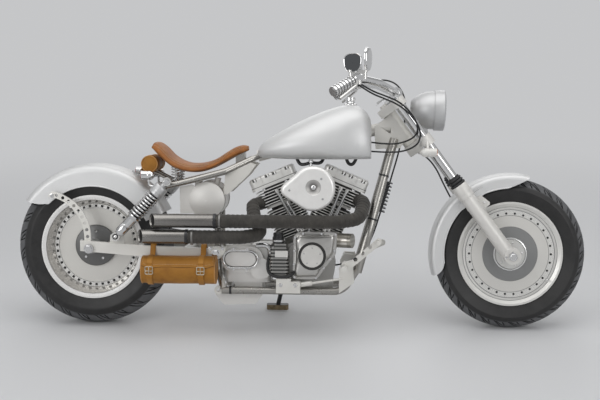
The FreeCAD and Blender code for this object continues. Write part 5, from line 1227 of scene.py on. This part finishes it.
def exhaust():
    """Pipes under the wrap, dark clamps, and polished sleeves whose slash cut ends open outwards."""
    piece = Piece("exhaust")
    angles = full_turn(64)
    for corners, bend, start, _, front, tail, _ in PIPES:
        end = (front, *corners[-1][1:])
        piece.add(sweep(bent_path([start, *corners, end], bend, 6), PIPE_R - 0.2, 28), "pipe")
        cut = tail - 15 * np.sin(angles)
        rings = ((tail + 120, 0.2), (tail + 120, 25), (cut + 8, 25), (cut + 7, 26), (cut + 0.6, 26), (cut, 26.6),
                 (cut, 27.8), (cut + 0.8, 28.5), (front, 28.5), (front + 1.5, 27.5), (front + 1.5, 25))
        piece.add(ring_mesh([hoop(0, x, end, radius, angles) for x, radius in rings]), "pipe")
        piece.turned(band(28.4, 31, 6, 0.8), 48, end, AHEAD, "black", True)
    piece.make("chassis", ("exhaust_pipes",), "chrome")


def cable(node, points, start=None):
    """Sheathed cable: with a start given it stays in the imported frame on no body, otherwise it rides on the
    fork.
    """
    mesh = curve_mesh(to_row(points), 10, CABLE_R)
    mesh.name = node + "_run"
    mesh.materials.clear()
    mesh.materials.append(look("cable"))
    mesh.polygons.foreach_set("use_smooth", [True] * len(mesh.polygons))
    obj = placed(node + "_run", mesh)
    if start:
        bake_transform(obj)
    else:
        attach(obj, "fork")
    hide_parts(node)


def cables():
    cable("throttle_cable", THROTTLE, (1340, -165, 810))
    cable("return_cable", RETURN, (1355, -165, 790))
    cable("clutch_cable", CLUTCH, (1310, 66, 900))
    cable("brake_hose", [fork_point(ahead, HOSE_Y, up) for ahead, up in HOSE])


# Fork and lamps

def lamp_lenses():
    """Lamp lenses and the rim of the headlamp."""
    tilt = math.radians(2)
    way = (math.cos(tilt), 0, -math.sin(tilt))
    lamp = (1330, 0, 914)
    lens = [(76, 141.4)]
    lens += [(76 * math.cos(a), 141.4 + 7.2 * math.sin(a)) for a in np.linspace(0.12, math.pi / 2, 12)]
    piece = Piece("headlight_lens").turned(lens, 64, lamp, way, "clear")
    rim = [(84.2, 98), (84.6, 102), (84.6, 134), (83.6, 138), (80.4, 141.2), (77.6, 141.6), (76.2, 140.6)]
    piece.turned(rim, 64, lamp, way, "lamp_paint")
    piece.make("fork", slot="chrome")
    signals = Piece("front_signal_lenses")
    for side in SIDES:
        profile = [(14.4, 70.2), (13.8, 73), (9, 74.3), (0, 74.8)]
        signals.turned(profile, 32, (1360, side * 172, 738), AHEAD, "amber")
    signals.make("fork", slot="chrome")
    rear = Piece("rear_lamp_lenses")
    for y in (-120, 120):
        rear.turned([(16, 58.2), (15.2, 61), (10, 62.3), (0, 62.8)], 32, (272, y, 636), BACK, "red")
    rear.turned([(13.6, 34.2), (12.8, 37), (8, 38.3), (0, 38.8)], 32, (204, 0, 650), BACK, "red")
    rear.make("chassis", slot="chrome")


def mirror_heads():
    """Rounded mirror heads with a bright rim round dark glass, and their stems."""
    heads = Piece("mirror_heads")
    glass = Piece("mirror_glass")
    shell = ((0.90, 2.2), (0.915, 0), (0.955, -1), (0.99, -0.2), (1, 2), (0.99, 6), (0.93, 10.5), (0.80, 14),
             (0.55, 15.6), (0.02, 16))
    for half_width, half_height, spot, turn in ((46, 37.5, (1086, -350, 1091), 48),
                                                (34, 54, (1148, 366, 1142), -24)):
        a = math.radians(turn)
        face = np.array((math.cos(a), math.sin(a), 0))
        outline = superellipse(half_width, half_height, 2.8)
        outline[:, 0] *= 1 + 0.12 * outline[:, 1] / half_height
        flat = np.outer(outline[:, 0], (-math.sin(a), math.cos(a), 0)) + np.outer(outline[:, 1], UP)
        for piece, rings, material in ((heads, shell, "chrome"), (glass, ((0.92, 1.2), (0.02, 1.2)), "mirror")):
            piece.add(ring_mesh([spot + face * depth + flat * scale for scale, depth in rings]), material)
    stem = smooth_line([(1118, -340, 1056), (1124, -344, 1078), (1114, -345, 1092), (1096, -343, 1092)])
    heads.add(sweep(stem, 5, 14), "chrome")
    heads.add(sweep([(1118, 340, 1062), (1158, 364, 1108)], 5, 14), "chrome")
    heads.make("fork", ("mirrors",), "chrome")
    glass.make("fork", slot="chrome")


def reservoirs():
    """Domed fluid reservoirs over the hand controls."""
    piece = Piece("reservoirs")
    outline = superellipse(37, 26, 3.4)
    for side in SIDES:
        centre = np.array((1108, side * 318))
        rings = [np.column_stack((centre + outline * scale, np.full(len(outline), z))) for scale, z in (
            (0.94, 1024), (1, 1027), (1, 1041), (1.02, 1042), (1.02, 1045), (0.99, 1046), (0.95, 1052),
            (0.85, 1058), (0.68, 1061.6), (0.40, 1063), (0.02, 1063.2))]
        piece.add(ring_mesh(rings, capped=True), "chrome")
        for dx in (-20, 20):
            piece.bolt("dome", 6, 2, (1108 + dx, side * 318, 1060.4), UP, "steel")
    piece.make("fork", slot="chrome")


def fork_boots():
    """Ribbed rubber boots, the flared tops of the lower legs and the fender's brackets."""
    boots = Piece("fork_boots")
    tops = Piece("leg_tops")
    ribs = [(20.6, 0), (31.5, 0), (33.5, 4), (32.5, 8.5), (27, 11), (31.5, 14.5), (32, 18), (30.5, 21),
            (25.5, 23.5), (29.5, 26.5), (29.8, 30), (28, 33), (25, 35), (25, 40), (20.6, 40)]
    collar = [(30, -62), (34, -40), (34.4, -36), (34.4, -3), (33, -0.4), (30, -0.4)]
    bracket = [(1560, 510), (1564, 498), (1592, 474), (1602, 474), (1656, 524), (1656, 534), (1622, 560),
               (1612, 560)]
    for side in SIDES:
        foot = fork_point(0, side * FORK_HALF, 365)
        boots.turned(ribs, 44, foot, FORK_WAY, "rubber", True)
        tops.turned(collar, 48, foot, FORK_WAY, "pale_paint", True)
        tops.add(plate(bracket, side * 89, side * 96), "pale_paint", False)
        for x, z in ((1582, 500), (1633, 534)):
            tops.bolt("socket", 9, 5, (x, side * 96, z), (0, side, 0))
    boots.make("fork", ("dust_boots",), "rubber")
    tops.make("fork", slot="silver_paint", bevel=0.8)


# Engine

def push_rods():
    """Four tubes from the timing cover up to the heads, with collars at their ends."""
    piece = Piece("push_rods")
    for low, high in (((870, 408), (772, 580)), ((886, 408), (820, 530)),
                      ((974, 408), (1043, 590)), ((990, 408), (1070, 582))):
        start = np.array((low[0], -108, low[1]))
        end = np.array((high[0], -96, high[1]))
        piece.add(sweep([start, end], 6.6, 20), "chrome")
        for spot, way in ((start, end - start), (end, start - end)):
            piece.turned([(6.4, 0), (9.6, 0), (9.6, 14), (8, 16), (6.4, 16)], 24, spot, way, "satin", True)
    piece.make("chassis", ("pushrod_tubes",), "chrome")


def cam_cover_shell():
    """Domed timing cover with its bolted flange, a groove round the lid made dark with painted shade, and a pale
    round lid.
    """
    centre = np.array((926, 308))
    outline = np.array([(848, 389), (844, 216), (856, 209), (946, 209), (1024, 318), (1030, 407),
                        (868, 407)]) - centre
    angles = full_turn(144)
    around = np.column_stack((np.cos(angles), np.sin(angles)))
    reach = np.full(len(angles), 1000)
    for a, b in zip(outline, np.roll(outline, -1, axis=0)):
        normal = np.array((b[1] - a[1], a[0] - b[0]))
        if np.dot(normal, a) < 0:
            normal = -normal
        facing = around[:, 0] * normal[0] + around[:, 1] * normal[1]
        cut = np.where(facing > 1e-6, np.dot(normal, a) / np.maximum(facing, 1e-6), 1000)
        reach = np.minimum(reach, cut)
    for _ in range(2):
        reach = (np.roll(reach, 1) + 2 * reach + np.roll(reach, -1)) / 4
    flange = ((reach, -88.5), (reach, -133), (reach - 1.5, -135.5), (reach - 13, -135.5), (reach - 14.5, -136.5),
              (reach - 17, -143), (reach - 22, -147), (np.maximum(reach - 32, 61), -149), (60, -150.5), (58, -151))
    # The groove round the lid is painted dark as shade.
    groove = ((58, -151), (56.5, -148), (47.5, -147), (46.6, -147))
    lid = ((46.6, -147), (46.4, -154.5), (45, -156), (30, -156), (0.2, -156))
    piece = Piece("timing_cover")
    for profile, material in ((flange, "timing"), (groove, "dark_metal_and_shade"), (lid, "pale_paint")):
        rings = []
        for radius, y in profile:
            flat = centre + around * np.broadcast_to(radius, len(angles))[:, None]
            rings.append(np.column_stack((flat[:, 0], np.full(len(angles), y), flat[:, 1])))
        piece.add(ring_mesh(rings), material)
    piece.make("chassis", ("cam_cover",), "chrome")


def engine_trim():
    """Rims, caps, bands, hoses and blocks on the engine and the front of the frame."""
    piece = Piece("engine_trim")
    oval = np.array([(x + 36 * math.cos(a), -133.5, 290 + 36 * math.sin(a))
                     for x, low in ((592, 0.5), (664, -0.5))
                     for a in np.linspace(low * math.pi, (low + 1) * math.pi, 18)])
    piece.add(sweep(oval, 3.6, 10, True), "chrome")
    middle = np.array((628, -129.6, 290))
    inner = middle + (oval - middle) * (0.91, 0, 0.86)
    piece.add(sweep(inner, 1.5, 8, True), "dark_metal_and_shade")
    piece.add(plate([(774, 304), (827, 304), (827, 331), (774, 331)], -161, -167), "pale_paint", False)
    cap = (784, -116, 356)
    piece.turned([(0, 46), (18, 46), (21, 43), (21, 30), (24, 28), (24, 2), (20, 0)], 28, cap, UP, "black")
    piece.turned([(24.2, 8), (25, 8), (25, 16), (24.2, 16)], 28, cap, UP, "soft_chrome", True)
    joint = (754, -130, 322)
    elbow = [(694, -124, 348), (728, -126, 352), (748, -128, 342), joint]
    piece.add(sweep(smooth_line(elbow), 11, 16), "soft_chrome")
    piece.turned(band(10, 12.6, 6), 24, joint, UP, "chrome", True)
    hose = [joint, (744, -134, 290), (741, -146, 258), (752, -166, 232), (786, -172, 222), (826, -170, 224),
            (846, -154, 232), (852, -136, 240)]
    piece.add(sweep(smooth_line(hose), 6.5, 14), "rubber")
    stem = [(0, 0), (7, 0), (7, 12), (10.5, 14), (10.5, 24), (7, 26), (7, 42), (0, 42)]
    piece.turned(stem, 22, (915, -46, 676), UP, "chrome")
    for run in (((853, -30, 716), (862, -34, 684), (888, -42, 680), (912, -46, 690)),
                ((918, -46, 690), (950, -38, 684), (966, -26, 700), (968, -26, 716)),
                ((1062, -30, 716), (1066, -32, 686), (1096, -34, 680), (1106, -32, 716))):
        piece.add(sweep(smooth_line(run), 7), "black")
    for side in SIDES:
        for low, high, share in (((1160, 108, 412), (1216, 60, 620), 0.22),
                                 ((1216, 60, 620), (1262, 24, 790), 0.10)):
            low, high = (np.array(end) * (1, side, 1) for end in (low, high))
            piece.turned(band(19.1, 20.4, 4, 0.4), 32, low + (high - low) * share, high - low, "black", True)
        piece.turned(band(15.6, 16.8, 5, 0.4), 28, (586, side * 118, 159), AHEAD, "black", True)
    piece.make("chassis", slot="chrome", bevel=0.4)


# Fasteners

# Right side of the chassis: kind, size, height, material, Y, and the places in X and Z
CHASSIS_BOLTS = (
    ("socket", 9, 5, "chrome", -112, ((548, 290), (708, 290))),
    ("socket", 9, 5, "chrome", -131, ((600, 247), (656, 247), (600, 333), (656, 333))),
    ("socket", 10, 6.5, "chrome", -135.5, (
        (855, 383), (852, 329), (851, 273), (853, 219), (942, 216), (974, 258), (1000, 296), (1018, 330),
        (1022, 398), (888, 400), (964, 400))),
    ("dome", 6, 1.6, "steel", -156, [
        (926 + 35 * math.cos(a), 308 + 35 * math.sin(a)) for a in np.radians((90, 18, 162, 234, 306))]),
    ("socket", 9, 3, "steel", -252, ((965, 632), (971, 551), (837, 585))),
    ("dome", 22, 5, "chrome", -243, (BREATHER[::2],)),
    ("hex", 12, 6, "chrome", -172, ((798, 190), (858, 190))),
    ("hex", 24, 9, "chrome", -169, ((530, 318),)),
    ("hex", 10, 5, "chrome", -170, ((508, 338), (558, 338))))
# Hexagon heads on both sides of the chassis: size, height, X, distance from the middle, Z
PAIRED_BOLTS = ((27, 9, 0, 167, REAR_HUB[2]), (12, 6, -12, 134, 350), (12, 6, -160, 134, 548))


def hub_point(hub, radius, y, angle):
    """A point round a hub."""
    return hub[0] + radius * math.cos(angle), y, hub[2] + radius * math.sin(angle)


def wheel_trim(piece, hub, valve_place, shade_ring, shade_y):
    """Valve stem on the rim, and a dark ring of painted shade behind the openings of the disc."""
    stem = [(0, 18), (2.6, 17.6), (3.2, 15), (3.2, 8), (2.6, 7.5), (2.6, 3), (4.2, 2), (4.6, -3)]
    piece.turned(stem, 18, hub_point(hub, *valve_place), RIGHT, "soft_chrome")
    inner, outer, low, high = shade_ring
    profile = [(inner, low), (outer, low), (outer, high), (inner, high)]
    piece.turned(profile, 160, (hub[0], shade_y, hub[2]), RIGHT, "dark_metal_and_shade", True)


def bolts():
    """Fasteners on the engine, wheels, controls and frame."""
    chassis = Piece("chassis_bolts")
    for kind, size, height, material, y, places in CHASSIS_BOLTS:
        for x, z in places:
            chassis.bolt(kind, size, height, (x, y, z), RIGHT, material)
    for side in SIDES:
        for size, height, x, y, z in PAIRED_BOLTS:
            chassis.bolt("hex", size, height, (x, side * y, z), (0, side, 0))
    chassis.make("chassis", slot="chrome")
    rocker_bolts()
    fork = Piece("fork_bolts")
    for side in SIDES:
        way = (0, side, 0)
        fork.bolt("hex", 24, 7, (WHEELBASE, side * 158, FRONT_HUB[2]), way)
        fork.bolt("hex", 30, 8, fork_point(0, side * FORK_HALF, TREE_TOP + 8), FORK_WAY)
        for up in (577, 605):
            fork.bolt("socket", 10, 8, fork_point(-26, side * (FORK_HALF + 24), up), way)
        for ahead in (-16, 16):
            fork.bolt("socket", 9, 5, fork_point(ahead, side * (FORK_HALF + 30), 14), way)
    fork.bolt("hex", 34, 10, fork_point(-55, 0, TREE_TOP + 26), FORK_WAY)
    fork.make("fork", slot="chrome")
    rear = Piece("rear_wheel_bolts")
    for i in range(5):
        rear.bolt("socket", 12, 6, hub_point(REAR_HUB, 62, -33.5, math.tau * (i + 0.2) / 5), RIGHT)
    wheel_trim(rear, REAR_HUB, (190, -60, 2.1), (163.4, 172.6, -1.4, -0.6), -2.4)
    rear.make("rear_wheel", slot="wheel_silver")
    front = Piece("front_wheel_bolts")
    for i in range(5):
        a = math.tau * (i + 0.1) / 5
        front.bolt("socket", 12, 6, hub_point(FRONT_HUB, 48, 67, a), LEFT)
        front.bolt("dome", 8, 3, hub_point(FRONT_HUB, 48, -60.6, a), RIGHT)
        front.bolt("dome", 9, 1.6, hub_point(FRONT_HUB, 27, -60.2, a), RIGHT, "dark_metal_and_shade")
    wheel_trim(front, FRONT_HUB, (192, -46, -0.6), (165, 174, -1, 0), -37.5)
    front.make("front_wheel", slot="wheel_silver")


def bank_point(side, x, y, up):
    """A point in one cylinder's own frame, moved to the bike's."""
    c, s = math.cos(BANK), math.sin(BANK) * side
    return np.array((CRANK[0] + x * c + up * s, y, CRANK[2] - x * s + up * c))


def rocker_bolts():
    """Bolts in the notches of the rocker boxes, and on the head flanges."""
    piece = Piece("rocker_bolts")
    for side in (1, -1):
        way = bank_point(side, 0, 0, 1) - bank_point(side, 0, 0, 0)
        for kind, size, height, up, xs, y in (("socket", 9, 7, 410, ROCKER_BOLTS_X, 62),
                                              ("hex", 13, 6, 364, (-50, 50), 74)):
            for x in xs:
                for end in SIDES:
                    piece.bolt(kind, size, height, bank_point(side, x, end * y, up), way)
    piece.make("chassis", slot="chrome")


# Studio

# Camera: focal length and picture width in pixels, sensor width, turn in degrees and place in the bike frame
FOCAL_PIXELS = 1185
PICTURE_PIXELS = 600
SENSOR = 36
YAW, PITCH, ROLL = 2.75, 3.86, -0.3
CAMERA_SPOT = (1108.05, -5000, 867.38)
FLOOR_R = 70
# Each lamp: name, size, power, place and target
LAMPS = (
    ("overhead", (5.5, 3), 58, (0.2, -0.6, 3.6), (0, 0, 0.4)),
    ("front_left", (3, 2.6), 70, (-3.4, -4.4, 2.4), (-0.2, 0, 0.5)),
    ("front_right", (2.2, 2.2), 46, (3.6, -4, 2.2), (0.3, 0, 0.5)),
    ("back", (4, 1.6), 30, (0, 4.2, 2.8), (0, 0, 0.5)))


def camera():
    """Camera at the photograph's place."""
    data = bpy.data.cameras.new("camera")
    data.sensor_width = SENSOR
    data.lens = SENSOR * FOCAL_PIXELS / PICTURE_PIXELS
    data.clip_end = 200
    obj = placed("camera", data)
    yaw, pitch, roll = (math.radians(angle) for angle in (YAW, PITCH, ROLL))
    ahead = Vector((-math.sin(yaw) * math.cos(pitch), math.cos(yaw) * math.cos(pitch), -math.sin(pitch)))
    right = Vector((math.cos(yaw), math.sin(yaw), 0))
    up = right.cross(ahead)
    tilted = right * math.cos(roll) - up * math.sin(roll)
    raised = up * math.cos(roll) + right * math.sin(roll)
    turn = Matrix((tilted, raised, -ahead)).transposed().to_4x4()
    spot = BIKE @ Vector(CAMERA_SPOT)
    obj.matrix_world = Matrix.Translation(spot) @ Matrix.Rotation(-LEAN, 4, "X") @ turn
    bpy.context.scene.camera = obj


def floor_look():
    """Pale floor that fades into the background far away."""
    material = bpy.data.materials.new("pale_floor")
    material.use_nodes = True
    graph = Graph(material.node_tree)
    shader = graph.tree.nodes["Principled BSDF"]
    graph.put(shader.inputs["Base Color"], (0.70, 0.705, 0.715))
    graph.put(shader.inputs["Roughness"], 0.55)
    place = graph.field("TexCoord", {}, "Object")
    fade = graph.field("VectorMath", {0: place}, "Value", operation="LENGTH").span(1.7, 5)
    glow = graph.field("Emission", {"Color": HORIZON})
    mixed = graph.field("MixShader", {"Fac": fade, 1: Field(graph, shader.outputs["BSDF"]), 2: glow})
    graph.put(graph.tree.nodes["Material Output"].inputs["Surface"], mixed)
    return material


def world_look():
    """Pale backdrop for the eye and for reflections, and a dimmer sky that lights the scene."""
    world = bpy.data.worlds.new("studio")
    bpy.context.scene.world = world
    world.use_nodes = True
    graph = Graph(world.node_tree)
    height = graph.field("SeparateXYZ", {"Vector": graph.field("TexCoord", {}, "Generated")}, "Z")
    sky = height.ramp((0, (0.22, 0.222, 0.226)), (0.25, (0.28, 0.283, 0.288)), (0.9, (0.42, 0.424, 0.43)))
    backdrop = height.ramp((0.12, HORIZON), (0.36, (0.34, 0.345, 0.35)), (0.85, grey(0.90)))
    rays = graph.node("LightPath", {}).outputs
    seen = Field(graph, rays["Is Camera Ray"])
    for ray in ("Is Glossy Ray", "Is Transmission Ray"):
        seen = seen.larger(Field(graph, rays[ray]))
    graph.put(graph.tree.nodes["Background"].inputs["Color"], seen.mix(sky, backdrop))


def studio():
    """Camera, pale floor and soft lights."""
    camera()
    mesh = bpy.data.meshes.new("floor")
    ring = [(FLOOR_R * math.cos(a), FLOOR_R * math.sin(a), 0) for a in full_turn(64)]
    mesh.from_pydata(ring, [], [tuple(range(64))])
    floor = placed("floor", mesh)
    mesh.materials.append(floor_look())
    world_look()
    for name, size, power, spot, target in LAMPS:
        light = bpy.data.lights.new(name, "AREA")
        light.shape = "RECTANGLE"
        light.size, light.size_y = size
        light.energy = power
        lamp = placed(name, light)
        lamp.location = spot
        lamp.rotation_euler = (Vector(target) - Vector(spot)).to_track_quat("-Z", "Y").to_euler()
        lamp.visible_camera = False
    bpy.context.scene.view_settings.view_transform = "Standard"


for step in (studio, finish_nodes, tyres, saddle, roll_bag, small_pouch, shock_absorbers, springs_under_seat,
             pipe_wrap, cables, lamp_lenses, mirror_heads, reservoirs, fork_boots, push_rods, exhaust,
             cam_cover_shell, engine_trim, bolts):
    step()
